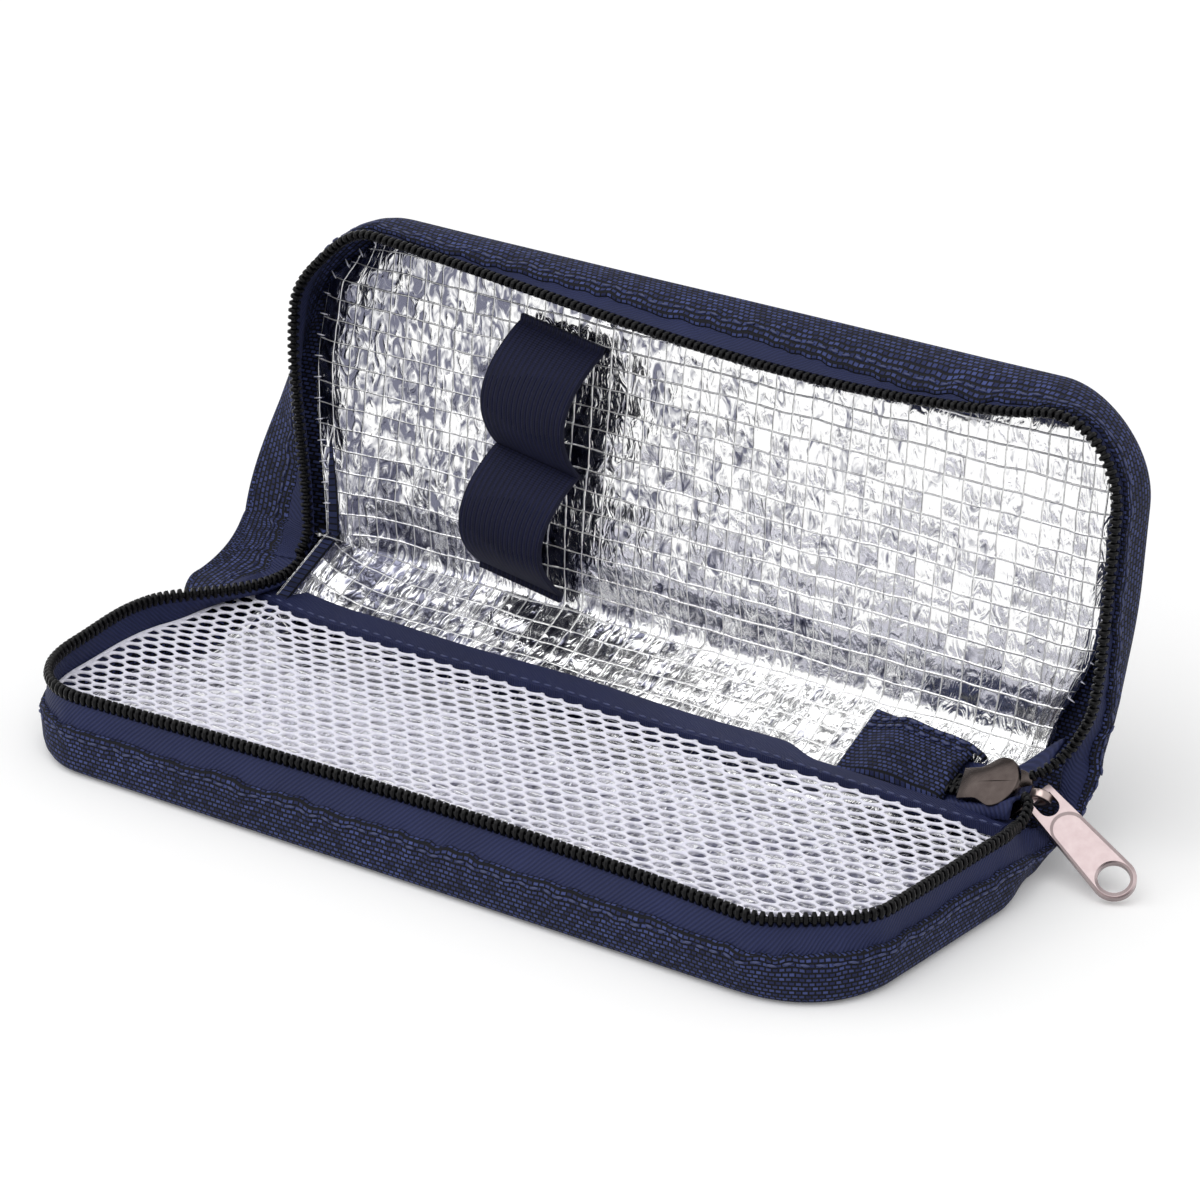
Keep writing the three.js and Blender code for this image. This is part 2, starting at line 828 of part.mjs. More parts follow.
const rimX = (along) =>
  halfWidth - rimInset - drawnIn(false, along) - tapeSet - tapeThickness / 2;

function rightCornerCoil() {
  const nose = new THREE.Vector3(halfSlider + 2 * seatGap, coilWidth, 0);
  const line = new THREE.QuadraticBezierCurve3(
    onCover(rimX(cornerReach), cornerReach - 3 * seatGap, coilCentre),
    onCover(rimX(0), 0, coilCentre),
    slider.localToWorld(nose),
  );
  const rings = [];
  for (let i = 0; i <= webSteps; i += 1) {
    const along = line.getTangent(i / webSteps);
    const across = new THREE.Vector3(1, 0, 0).addScaledVector(along, -along.x).normalize();
    rings.push(coilRing(line.getPoint(i / webSteps), across, along.clone().cross(across)));
  }
  return loft(rings);
}

addMesh(model, 'right_corner_coil', rightCornerCoil(), nylon);

// Folded end of the zip tape beside the slider
addMesh(
  spine,
  'zip_end_tape',
  block(
    rimX(0) - endTapeLength,
    rimX(0),
    foldRelief,
    foldRelief + endTapeWidth,
    foilTop + seatGap,
    foilTop + seatGap + tapeThickness,
  ),
  zipTape,
);

// Pull tab, hooked on the bail by its eye

const pull = new THREE.Group();
const pivot = spine.worldToLocal(
  slider.localToWorld(new THREE.Vector3(pivotForward, 0, -pivotBelow)),
);
pull.position.copy(pivot);
pull.rotation.set(0, radians(pullDrop), -radians(pullSkew), 'ZYX');
spine.add(pull);

function pullTab() {
  const near = -eyeBar / 2;
  const endRadius = pullFarWidth / 2;
  const far = pullReach - endRadius;
  const shape = new THREE.Shape();
  shape.moveTo(near, -pullNearWidth / 2);
  shape.lineTo(far, -endRadius);
  shape.absarc(far, 0, endRadius, -Math.PI / 2, Math.PI / 2, false);
  shape.lineTo(near, pullNearWidth / 2);
  const eyeNear = near + eyeBar;
  const eyeFar = eyeNear + eyeLength;
  const eye = [
    new THREE.Vector2(eyeNear, -eyeWidth / 2),
    new THREE.Vector2(eyeNear, eyeWidth / 2),
    new THREE.Vector2(eyeFar, eyeWidth / 2),
    new THREE.Vector2(eyeFar, -eyeWidth / 2),
  ];
  const holes = [eye, roundHole(far, 0, pullHoleRadius, pullHoleSides)];
  const border = shape.getPoints(cornerSteps);
  const blank = pierced(border, holes, -pullThickness / 2, pullThickness / 2);

  const recessNear = eyeFar + pullRim;
  const recessFar = far - pullHoleRadius - pullRim;
  const widthAt = (x) => lerp(pullNearWidth, pullFarWidth, (x - near) / (far - near)) / 2 - pullRim;
  const recess = new THREE.Shape();
  recess.moveTo(recessNear, -widthAt(recessNear));
  recess.lineTo(recessFar, -widthAt(recessFar));
  recess.lineTo(recessFar, widthAt(recessFar));
  recess.lineTo(recessNear, widthAt(recessNear));
  const face = pullThickness / 2 - pullRecess;
  return fromSolid(
    cut(blank, [extrude(recess, face, face + overrun), extrude(recess, -face - overrun, -face)]),
  );
}

addMesh(pull, 'pull_tab', pullTab(), nickel);

// The part's own origin is the middle of the lower panel's underside.
const part = new THREE.Group();
model.position.y = -panelDepth / 2;
part.add(model);
part.updateMatrixWorld(true);

export default part;
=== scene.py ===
import math

import bmesh
import bpy
from mathutils import Matrix, Vector, noise


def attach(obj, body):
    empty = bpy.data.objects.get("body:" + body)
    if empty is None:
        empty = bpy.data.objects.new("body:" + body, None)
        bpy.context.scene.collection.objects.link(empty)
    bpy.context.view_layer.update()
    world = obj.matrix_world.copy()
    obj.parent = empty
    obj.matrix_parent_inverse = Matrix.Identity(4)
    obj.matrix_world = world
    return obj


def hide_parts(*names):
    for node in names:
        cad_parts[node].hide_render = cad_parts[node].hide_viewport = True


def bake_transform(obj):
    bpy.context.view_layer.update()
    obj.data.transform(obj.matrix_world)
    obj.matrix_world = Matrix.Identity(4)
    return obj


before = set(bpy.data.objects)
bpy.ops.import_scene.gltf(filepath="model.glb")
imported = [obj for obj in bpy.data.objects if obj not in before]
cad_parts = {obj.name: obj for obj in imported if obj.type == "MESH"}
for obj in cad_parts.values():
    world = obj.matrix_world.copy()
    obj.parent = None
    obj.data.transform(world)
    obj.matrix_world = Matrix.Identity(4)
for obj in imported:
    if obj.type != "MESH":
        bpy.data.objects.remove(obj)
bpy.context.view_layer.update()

# Outer cloth
# Woven navy oxford covers the whole case: a flat panel for each half and for the spine, rolled over a piped
# lower edge into the gusset wall. The gusset's top edge is turned in and sewn down on the zip tape.

case_width = 205
panel_depth = 75
half_height = 17
corner_radius = 23
spine_angle = math.radians(28)
cover_angle = math.radians(83.5)
cloth_thickness = 0.8
fold_height = 3.5
foot_height = 1.1
gusset_height = 9
gusset_inset = 0.6
rim_height = 14.05
tape_top = 14.9
rim_inset = 1
coil_height = 15.55
right_pull = 4
right_pull_length = 15
seam_pull_share = 0.45
right_dip = 4
right_dip_length = 7
right_lean = 2
right_lean_length = 24
side_bulge = 2.2
side_rise = 1.6
side_middle = 33
side_reach = 17
fold_gap = 0.2
cover_reach = 6.7
right_web_height = 3.2
right_web_drop = 8.2
spine_narrowing = 4
fold_narrowing = 2
fold_narrowing_length = 8
flare = 13.5
flare_curl = 12
flare_width = 30
inset_reach = 20
front_power = 4
edge_roll = 3.2
edge_roll_steps = 4
round_profile = 0.5
turned_edge = 0.7
cloth_step = 1
wall_step = 1.5
pucker_pitch = 3.4
pucker_depth = 0.45
pucker_height = 3.2
pucker_rise_share = 1.2
seam_rise = 4.2
seam_dip = 2.4
seam_dip_share = 0.6
seam_rise_length = 40
merge_share = 0.01
wall_slope_share = 0.7

mm = 0.001
half_width = case_width / 2
spine_length = 2 * (half_height - fold_height)
side_length = panel_depth - corner_radius
front_length = case_width - 2 * corner_radius
corner_across = half_width - corner_radius
corner_turn = corner_radius * math.pi / 2
flat_down = Matrix.Translation((0, 0, -fold_height))


def fold_turned(parent, along, angle):
    hinge = Matrix.Translation((0, along, fold_height)) @ Matrix.Rotation(angle, 4, "X")
    return parent @ hinge @ flat_down


case_middle = panel_depth / 2
lower_place = Matrix.Translation((0, case_middle, 0)) @ Matrix.Rotation(math.pi, 4, "Z")
spine_place = fold_turned(Matrix.Identity(4), case_middle, spine_angle)
cover_place = fold_turned(spine_place, spine_length, cover_angle - spine_angle)


class Half:
    """One half of the case, drawn flat: y is 0 at the fold and below 0 on the spine, z is 0 outside.

    side is -1 where the flat half lies turned about, so that its negative x is on the right. Of the other
    values, a pair is for the left and the right corner.
    """

    def __init__(self, place, fold_turn, **values):
        self.place = place
        self.fold_turn = fold_turn
        self.strip = fold_height * fold_turn + spine_length / 2
        for name, value in values.items():
            setattr(self, name, value)


lower = Half(lower_place, spine_angle, side=-1, reach=0, sag=4.5, sag_lean=0.35, corner_pulls=(0, 3),
             left_pull=8.5, left_pull_length=28, flare_length=25, narrowing_length=16, far_inset=1,
             far_lean=1.6, right_inset=1, corner_insets=(1, 0))
cover = Half(cover_place, cover_angle - spine_angle, side=1, reach=cover_reach, sag=7, sag_lean=0.85,
             corner_pulls=(2.2, 0), left_pull=7, left_pull_length=50, flare_length=70, narrowing_length=38,
             far_inset=1.4, far_lean=0, right_inset=0.6, corner_insets=(3.2, 1))


def ease(value, start, end):
    share = min(max((value - start) / (end - start), 0), 1)
    return share * share * (3 - 2 * share)


def mix(a, b, share):
    return a + (b - a) * share


def hump(value, reach):
    """1 at zero, falling off smoothly to both sides over a reach."""
    return math.exp(-((value / reach) ** 2))


def drawn_in(half, left, along):
    """How far the zip ends draw the rim in beside the fold."""
    if left:
        return half.left_pull * (1 - ease(along, 0, half.left_pull_length))
    return right_pull * (1 - ease(along, 0, right_pull_length))


def side_swell(half, x, y):
    """The lower half's left wall, where the cover's weight lifts it: 1 at its middle."""
    if half is cover or x < 0:
        return 0
    return hump(y - side_middle, side_reach)


def seam_inset(pull):
    return gusset_inset + seam_pull_share * pull


def outward(x, y):
    """The direction in which the rim faces next to a point of the flat half."""
    if y <= side_length:
        return Vector((math.copysign(1, x), 0, 0))
    if abs(x) <= corner_across:
        return Vector((0, 1, 0))
    return Vector((x - math.copysign(corner_across, x), y - side_length, 0)).normalized()


def behind_rim(x, y):
    """How far inside the outline a point of the flat half lies."""
    facing = outward(x, y)
    if facing.y == 0:
        return half_width - abs(x)
    if facing.x == 0:
        return panel_depth - y
    return corner_radius - math.hypot(abs(x) - corner_across, y - side_length)


def near_wall(x, y):
    """1 at the wall, 0 in the middle of a half."""
    return 1 - ease(behind_rim(x, y), 0, corner_radius)


def along_rim(x, y):
    """The distance along the outline, from the fold on the side of negative x."""
    if y <= side_length:
        near = y
    elif abs(x) <= corner_across:
        return side_length + corner_turn + x + corner_across
    else:
        near = side_length + corner_radius * math.atan2(y - side_length, abs(x) - corner_across)
    whole = 2 * (side_length + corner_turn) + front_length
    return near if x < 0 else whole - near


def edge_inset(half, x, y, height):
    """How far the soft lower edge stands in from the outline, less towards the seam and the middle."""
    facing = outward(x, y)
    across = half.side * x / half_width
    far = half.far_inset * facing.y**front_power * (1 + half.far_lean * across)
    right = half.right_inset * facing.x**2 * (across > 0)
    corner = half.corner_insets[across > 0] * (2 * facing.x * facing.y) ** 2
    near = 1 - ease(behind_rim(x, y), 0, inset_reach)
    return (far + right + corner) * near * (1 - ease(height, 0, gusset_height))


def wall_inset(half, x, y, height):
    """How far the wall stands in from the outline at a height."""
    facing = outward(x, y)
    across = half.side * x / half_width
    middle = half.sag * facing.y**front_power * (1 - across**2) * (1 + half.sag_lean * across)
    corner = half.corner_pulls[across > 0] * (2 * facing.x * facing.y) ** 2
    leaning = side_bulge * side_swell(half, x, y)
    if half is cover and across > 0:
        leaning = right_lean * facing.x**2 * ease(y, 0, right_lean_length)
    pull = drawn_in(half, across < 0, y) + middle + corner - leaning
    if height <= gusset_height:
        up = max(0, (height - foot_height) / (gusset_height - foot_height))
        return seam_inset(pull) * up + edge_inset(half, x, y, height)
    share = (height - gusset_height) / (rim_height - gusset_height)
    return mix(seam_inset(pull), rim_inset + pull, share)


def narrowed(half, y):
    """How far the outer cloth stands in at the right end beside the folds."""
    on_spine = spine_narrowing * (1 - ease(y, 0, half.narrowing_length))
    beside_fold = fold_narrowing * hump(y, fold_narrowing_length)
    return on_spine + (beside_fold if half is cover else 0)


def splayed(half, point):
    """At the left end the taut zip lays the walls outwards and curls the ends of the panels up."""
    x, y, z = point
    if half.side * x > 0:
        low = 1 - ease(z, 0, gusset_height)
        return Vector((x * (1 - low * narrowed(half, y) / half_width), y, z))
    share = max(0, 1 - z / rim_height) * (1 - ease(y, 0, half.flare_length))
    share *= ease(abs(x), half_width - flare_width, half_width)
    return Vector((x - half.side * flare * share, y, z + flare_curl * share))


def bend(start, middle, end, share):
    return start * (1 - share) ** 2 + middle * 2 * share * (1 - share) + end * share**2


def lower_end(height):
    return Vector((0, case_middle + fold_gap, height))


def meeting(height):
    """Where a line level with the table meets the same line drawn along the cover."""
    foot = cover_place @ Vector((0, 0, height))
    rise = cover_place @ Vector((0, 1, height)) - foot
    return foot + rise * ((height - foot.z) / rise.z)


def foot_line(half, along):
    """The outer face from the fold to the middle of the spine, at a distance from the flat half."""
    arc = fold_height * half.fold_turn
    on_spine = max(along - arc, 0)
    if half is lower:
        turn = min(along, arc) / fold_height
        axis = Vector((0, case_middle, fold_height))
        if on_spine:
            return spine_place @ Vector((0, on_spine, 0))
    else:
        turn = cover_angle - min(along, arc) / fold_height
        axis = spine_place @ Vector((0, spine_length, fold_height))
        if on_spine:
            return spine_place @ Vector((0, spine_length - on_spine, 0))
    return axis + fold_height * Vector((0, math.sin(turn), -math.cos(turn)))


def seam_line(left, share):
    start = lower_end(gusset_height)
    end = cover_place @ Vector((0, fold_gap, gusset_height))
    middle = (start + end) / 2
    if not left:
        height = (spine_place.inverted() @ middle).z
        middle += Vector((0, 0, 2 * (right_web_height - height)))
    return bend(start, middle, end, share)


def rim_line(left, height, share):
    """The rim beside the spine; on the right it hangs lower, under the pull."""
    end = cover_place @ Vector((0, cover_reach, height))
    drop = 0 if left else right_web_drop * math.sin(math.pi * share)
    return bend(lower_end(height), meeting(height), end, share) - Vector((0, 0, drop))


def web_line(half, left, height, share):
    """The wall beside the spine: from foot to seam to rim, at a share of the way round the corner."""
    way = share if half is lower else 1 - share
    if height <= gusset_height:
        foot = foot_line(half, 2 * share * half.strip)
        return foot.lerp(seam_line(left, way), height / gusset_height)
    rim_share = (height - gusset_height) / (rim_height - gusset_height)
    if height <= rim_height:
        return seam_line(left, way).lerp(rim_line(left, rim_height, way), rim_share)
    return rim_line(left, height, way)


def folded(half, point):
    """Takes a point of the flat half to its place on the standing case."""
    reach = half.reach * ease(point.z, gusset_height, rim_height)
    if point.y >= reach:
        return half.place @ point
    left = point.x * half.side < 0
    share = (reach - point.y) / (reach + half.strip) / 2
    place = web_line(half, left, point.z, share)
    place.x = half.side * point.x
    return place


def seam_lift(half, x, y, z):
    """How far a wall point is shifted up: the cover's gusset nearly reaches the coil, less so in front."""
    if half is lower:
        return 0
    middle = max(0, 1 - (x / half_width / seam_dip_share) ** 2) * outward(x, y).y ** front_power
    lift = (seam_rise - seam_dip * middle) * ease(y, 0, seam_rise_length)
    return lift * min(z / gusset_height, (tape_top - z) / (tape_top - gusset_height))


def wall_lift(half, x, y, z):
    """The lower half's wall rises on the left and sinks on the right beside the fold, under the pull."""
    if half is cover:
        return 0
    sunk = right_dip * hump(y, right_dip_length) if x < 0 else 0
    return (side_rise * side_swell(half, x, y) - sunk) * ease(z, 0, rim_height)


def pucker(half, x, y, z):
    """Small gathers along the seam between gusset and tape."""
    along = along_rim(x, y) / pucker_pitch
    wander = noise.noise(Vector((along, half.side * pucker_pitch, z / pucker_pitch)))
    return pucker_depth * hump(z - gusset_height, pucker_height) * wander


def settled(half, point):
    """Draws a wall point in towards the zip, puckers it and folds it into place."""
    x, y, z = point
    ripple = pucker(half, x, y, z)
    z += seam_lift(half, x, y, z) + ripple * pucker_rise_share
    flat = Vector((x, y, z)) - outward(x, y) * (wall_inset(half, x, y, z) + ripple)
    flat.z += wall_lift(half, x, y, z)
    return folded(half, splayed(half, flat))


def last_of(made, kind):
    return [item for item in made if isinstance(item, kind)]


def draw_out(bm, edges, offset, steps):
    """Extrudes a chain of edges in equal steps and returns the last chain."""
    for _ in range(steps):
        made = bmesh.ops.extrude_edge_only(bm, edges=edges)["geom"]
        verts = last_of(made, bmesh.types.BMVert)
        bmesh.ops.translate(bm, verts=verts, vec=Vector(offset) / steps)
        edges = last_of(made, bmesh.types.BMEdge)
    return edges


def turn_corner(bm, edges, centre, steps):
    verts = list(dict.fromkeys(vert for edge in edges for vert in edge.verts))
    made = bmesh.ops.spin(bm, geom=verts + edges, cent=centre, axis=(0, 0, 1), angle=-math.pi / 2,
                          steps=steps)["geom_last"]
    return last_of(made, bmesh.types.BMEdge)


def run_round(bm, edges, first, step):
    """Sweeps a section round the rim, from y = first on one side to the same place on the other."""
    steps = round(corner_turn / step)
    straight = side_length - first
    edges = draw_out(bm, edges, (0, straight, 0), round(straight / step))
    edges = turn_corner(bm, edges, (-corner_across, side_length, 0), steps)
    edges = draw_out(bm, edges, (front_length, 0, 0), round(front_length / step))
    edges = turn_corner(bm, edges, (corner_across, side_length, 0), steps)
    draw_out(bm, edges, (0, -straight, 0), round(straight / step))


def chain(bm, points):
    """A chain of edges through a few points."""
    verts = [bm.verts.new(point) for point in points]
    return verts, [bm.edges.new(pair) for pair in zip(verts, verts[1:])]


def round_off(bm, vert, radius, steps):
    """Rounds the corner of a chain of edges."""
    bmesh.ops.bevel(bm, geom=[vert], affect="VERTICES", offset=radius, segments=steps,
                    profile=round_profile, material=-1)


def cut_fine(bm, step):
    for edge in list(bm.edges):
        cuts = round(edge.calc_length() / step) - 1
        if cuts > 0:
            bmesh.ops.subdivide_edges(bm, edges=[edge], cuts=cuts)


def add_grid(bm, left, right, near, far, column, row, height=0):
    """Adds a flat grid with cells of about column by row."""
    length, width = right - left, far - near
    verts = bmesh.ops.create_grid(bm, x_segments=round(length / column), y_segments=round(width / row),
                                  size=1)["verts"]
    bmesh.ops.scale(bm, verts=verts, vec=(length / 2, width / 2, 1))
    bmesh.ops.translate(bm, verts=verts, vec=((left + right) / 2, (near + far) / 2, height))


def fill_middle(bm, first, height, step):
    """The flat middle of a panel, between the corner centres."""
    add_grid(bm, -corner_across, corner_across, first, side_length, step, step, height)
    bmesh.ops.remove_doubles(bm, verts=bm.verts, dist=step * merge_share)


def lay_weave(bm):
    """Gives a cloth, while it is flat, a map in millimetres: over the panel, or round the wall and up it."""
    bm.normal_update()
    layer = bm.loops.layers.uv.new("weave")
    for face in bm.faces:
        on_wall = abs(face.normal.z) < wall_slope_share
        for loop in face.loops:
            x, y, z = loop.vert.co
            loop[layer].uv = (along_rim(x, y), z) if on_wall else (x, y)


def finish_piece(name, bm, materials, crease=math.pi):
    """Scales a mesh from millimetres and makes it an object, smooth but for edges sharper than crease."""
    bmesh.ops.scale(bm, verts=bm.verts, vec=(mm,) * 3)
    mesh = bpy.data.meshes.new(name)
    for face in bm.faces:
        face.smooth = True
    bm.to_mesh(mesh)
    bm.free()
    mesh.set_sharp_from_angle(angle=crease)
    for material in materials:
        mesh.materials.append(material)
    piece = bpy.data.objects.new(name, mesh)
    bpy.context.scene.collection.objects.link(piece)
    return piece


def thickened(piece, thickness, offset=-1):
    solid = piece.modifiers.new("Thickness", "SOLIDIFY")
    solid.thickness = thickness * mm
    solid.offset = offset
    return piece


# The sRGB curve: a straight toe, then a power.
toe_end = 0.04045
toe_slope = 12.92
curve_lift = 0.055
curve_power = 2.4
byte_top = 255


def linear(code):
    """A colour written as sRGB hex, as linear light."""
    parts = [byte / byte_top for byte in bytes.fromhex(code)]
    return [part / toe_slope if part <= toe_end else ((part + curve_lift) / (1 + curve_lift)) ** curve_power
            for part in parts] + [1]


def add_node(tree, kind, inputs, **settings):
    """Adds a shader node, with its settings, values and links."""
    node = tree.nodes.new("ShaderNode" + kind)
    for name, value in settings.items():
        setattr(node, name, value)
    for name, value in inputs.items():
        if isinstance(value, bpy.types.NodeSocket):
            tree.links.new(value, node.inputs[name])
        else:
            node.inputs[name].default_value = value
    return node


def surface(name, **values):
    """A new material; values are given to its shader's own sockets."""
    material = bpy.data.materials.new(name)
    material.use_nodes = True
    shader = material.node_tree.nodes["Principled BSDF"]
    for socket, value in values.items():
        shader.inputs[socket.replace("_", " ")].default_value = value
    return material, material.node_tree, shader


# Oxford: thick polyester yarns woven two by two, so the eye sees offset rows of short lighter dashes.
yarn_length = 1.3
yarn_width = 0.85
yarn_gap = 0.22
yarn_depth = 0.35
yarn_smoothness = 0.6
shade_scale = 0.05
shade_detail = 3
shade_from = 0.3
shade_to = 0.7
lighter = 1.1
oxford_darker = 0.75

oxford, oxford_tree, oxford_shader = surface("woven navy oxford", Roughness=0.8, Specular_IOR_Level=0.25)


def woven_map(tree):
    return add_node(tree, "UVMap", {}, uv_map="weave").outputs["UV"]


def raised(tree, shader, height, depth, invert=False):
    """Lets a pattern stand out from the surface by a depth in millimetres."""
    bump = add_node(tree, "Bump", {"Height": height, "Distance": depth * mm}, invert=invert)
    tree.links.new(bump.outputs["Normal"], shader.inputs["Normal"])


def cloudy(tree, vector, scale, detail, **more):
    return add_node(tree, "TexNoise", {"Vector": vector, "Scale": scale, "Detail": detail, **more}).outputs


def shaded(tree, shader, colour, vector, darker):
    """Varies a colour slowly over a surface, as handling and folds do."""
    tone = add_node(tree, "MapRange", {
        "Value": cloudy(tree, vector, shade_scale, shade_detail)["Fac"], "From Min": shade_from,
        "From Max": shade_to, "To Min": darker, "To Max": lighter})
    blend = add_node(tree, "MixRGB", {"Fac": 1, "Color1": colour, "Color2": tone.outputs["Result"]},
                     blend_type="MULTIPLY")
    tree.links.new(blend.outputs["Color"], shader.inputs["Base Color"])


oxford_map = woven_map(oxford_tree)
yarns = add_node(oxford_tree, "TexBrick", {
    "Vector": oxford_map, "Color1": linear("444e80"), "Color2": linear("1b2144"), "Mortar": linear("04050b"),
    "Scale": 1, "Mortar Size": yarn_gap, "Mortar Smooth": yarn_smoothness, "Brick Width": yarn_length,
    "Row Height": yarn_width})
shaded(oxford_tree, oxford_shader, yarns.outputs["Color"], oxford_map, oxford_darker)
raised(oxford_tree, oxford_shader, yarns.outputs["Fac"], yarn_depth, invert=True)


def sewn_up(name, bm, half, material, thickness):
    """Makes a flat cloth part of the wall of a half, with its thickness."""
    bmesh.ops.recalc_face_normals(bm, faces=bm.faces)
    lay_weave(bm)
    for vert in bm.verts:
        vert.co = settled(half, vert.co)
    return thickened(finish_piece(name, bm, [material]), thickness)


def outer_cloth(name, half):
    first = -half.strip
    bm = bmesh.new()
    top = gusset_height + turned_edge
    verts, _ = chain(bm, [
        (2 * turned_edge - half_width, first, top),
        (-half_width, first, top),
        (-half_width, first, 0),
        (-corner_across, first, 0),
    ])
    round_off(bm, verts[1], turned_edge, edge_roll_steps)
    round_off(bm, verts[2], edge_roll, edge_roll_steps)
    cut_fine(bm, wall_step)
    run_round(bm, list(bm.edges), first, cloth_step)
    fill_middle(bm, first, 0, cloth_step)
    return sewn_up(name, bm, half, oxford, cloth_thickness)


lower_cloth = outer_cloth("lower_outer_cloth", lower)
cover_cloth = outer_cloth("cover_outer_cloth", cover)


def on_spine(along, height=0):
    return (spine_place @ Vector((0, along, height))) * mm


def follow_folds(lower_piece, cover_piece):
    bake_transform(lower_piece)
    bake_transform(cover_piece)


follow_folds(lower_cloth, cover_cloth)
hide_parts("lower_panel", "lower_gusset", "lower_fold_cloth", "spine_panel",
            "left_corner_gusset", "right_corner_gusset")
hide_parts("cover_panel", "cover_gusset", "cover_fold_cloth")

# Zip tape
# Navy twill tape of the zip, sewn behind the gusset's turned edge and standing up to the coil.

tape_clearance = 0.3
tape_thickness = 0.7
tape_foot = 7
tape_step = 0.9

tape_set = cloth_thickness + tape_clearance

# Fine polyester twill, flat and slightly bright, with diagonal lines little more than 1 mm apart.
twill_pitch = 1.1
twill_depth = 0.12
twill_darker = 0.85
wave_step = 10


def bands(tree, vector, pitch, direction):
    """Soft bands: two to each pitch in millimetres along an axis, one along the diagonal."""
    return add_node(tree, "TexWave", {"Vector": vector, "Scale": math.tau / (wave_step * pitch)},
                    bands_direction=direction).outputs["Fac"]


def two_tone(tree, share, dark, light):
    mixed = add_node(tree, "MixRGB", {"Fac": share, "Color1": linear(dark), "Color2": linear(light)})
    return mixed.outputs["Color"]


def ribbed_cloth(name, tone, relief, depth, colours, darker, **values):
    """A woven tape; tone and relief each give the pitch and direction of their bands."""
    material, tree, shader = surface(name, **values)
    vector = woven_map(tree)
    colour = two_tone(tree, bands(tree, vector, *tone), *colours)
    shaded(tree, shader, colour, vector, darker)
    raised(tree, shader, bands(tree, vector, *relief), depth)
    return material


twill = (twill_pitch, "DIAGONAL")
tape_cloth = ribbed_cloth("woven zip tape", twill, twill, twill_depth, ("181e3f", "22294f"), twill_darker,
                          Roughness=0.65, Specular_IOR_Level=0.25)


def zip_tape(name, half):
    bm = bmesh.new()
    inset = tape_set - half_width
    chain(bm, [(inset, -half.strip, tape_foot), (inset, -half.strip, tape_top)])
    cut_fine(bm, tape_step)
    run_round(bm, list(bm.edges), -half.strip, cloth_step)
    return sewn_up(name, bm, half, tape_cloth, tape_thickness)


lower_tape = zip_tape("lower_tape", lower)
cover_tape = zip_tape("cover_tape", cover)
follow_folds(lower_tape, cover_tape)
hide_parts("lower_zip_tape", "left_corner_tape")
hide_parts("cover_zip_tape", "right_corner_tape")

# Zip coil
# Black nylon filament wound into a row of arches over the tape's edge, one every 1.55 mm.

tooth_pitch = 1.55
filament_radius = 0.56
core_radius = 0.62
rim_tooth = (2.3, 2.8)
tooth_sides = 6
tooth_steps = 8
curve_steps = 12

# Nylon monofilament: drawn black plastic, smooth enough for a small bright line on each arch.
nylon, _, _ = surface("wound black nylon", Base_Color=linear("050507"), Roughness=0.25,
                      Specular_IOR_Level=0.15)


def as_item(name, bm):
    """A small mesh that is set many times along a line."""
    for face in bm.faces:
        face.smooth = True
    mesh = bpy.data.meshes.new(name)
    bm.to_mesh(mesh)
    bm.free()
    return mesh


def coil_tooth(width, height):
    """One turn of the filament, standing in the XZ plane round the origin, on a stretch of core."""
    bm = bmesh.new()
    upright = Matrix.Rotation(math.pi / 2, 3, "X")
    bmesh.ops.create_circle(bm, radius=filament_radius, segments=tooth_sides)
    bmesh.ops.translate(bm, verts=bm.verts, vec=(width / 2 - filament_radius, 0, 0))
    bmesh.ops.rotate(bm, verts=bm.verts, matrix=upright)
    bmesh.ops.spin(bm, geom=list(bm.verts) + list(bm.edges), axis=(0, 0, 1), angle=2 * math.pi,
                   steps=tooth_steps, use_merge=True)
    tall = (height - 2 * filament_radius) / (width - 2 * filament_radius)
    bmesh.ops.scale(bm, verts=bm.verts, vec=(1, tall, 1))
    bmesh.ops.rotate(bm, verts=bm.verts, matrix=upright)
    core = bmesh.ops.create_cone(bm, cap_ends=False, segments=tooth_sides, radius1=core_radius,
                                 radius2=core_radius, depth=tooth_pitch)["verts"]
    bmesh.ops.rotate(bm, verts=core, matrix=upright)
    return as_item("tooth", bm)


def set_along(bm, item, pitch, points, lean, first_share=1 / 2):
    """Sets an item at each pitch along a line; lean gives the side that its x axis faces at a point."""
    travelled = pitch * first_share
    for here, there in zip(points, points[1:]):
        length = (there - here).length
        while travelled < length:
            place = here.lerp(there, travelled / length)
            forward = (there - here).normalized()
            across = lean(place)
            across = (across - forward * across.dot(forward)).normalized()
            turned = Matrix((across, forward, across.cross(forward))).transposed().to_4x4()
            before = len(bm.verts)
            bm.from_mesh(item)
            bm.verts.ensure_lookup_table()
            bmesh.ops.transform(bm, matrix=Matrix.Translation(place) @ turned, verts=bm.verts[before:])
            travelled += pitch
        travelled -= length


def repeated(name, item, pitch, lines, lean, material):
    """A piece made of one item, set along each line."""
    bm = bmesh.new()
    for line in lines:
        set_along(bm, item, pitch, line, lean)
    return finish_piece(name, bm, [material])


def spaced(start, end, count):
    return [mix(start, end, i / count) for i in range(count + 1)]


def curve_between(start, leaving, end, arriving):
    """Points of a smooth curve, leaving and arriving giving its first and last reach."""
    points = []
    for share in spaced(0, 1, curve_steps):
        near = bend(start, start + leaving, end - arriving, share)
        far = bend(start + leaving, end - arriving, end, share)
        points.append(near.lerp(far, share))
    return points


def side_stations(first):
    """Points of the flat outline up one side and round its corner, without the corner's last point."""
    straight = spaced(first, side_length, round((side_length - first) / cloth_step))
    flat = [(half_width, y) for y in straight[:-1]]
    for turn in spaced(0, math.pi / 2, round(corner_turn / cloth_step))[:-1]:
        flat.append((corner_across + corner_radius * math.cos(turn),
                     side_length + corner_radius * math.sin(turn)))
    return flat


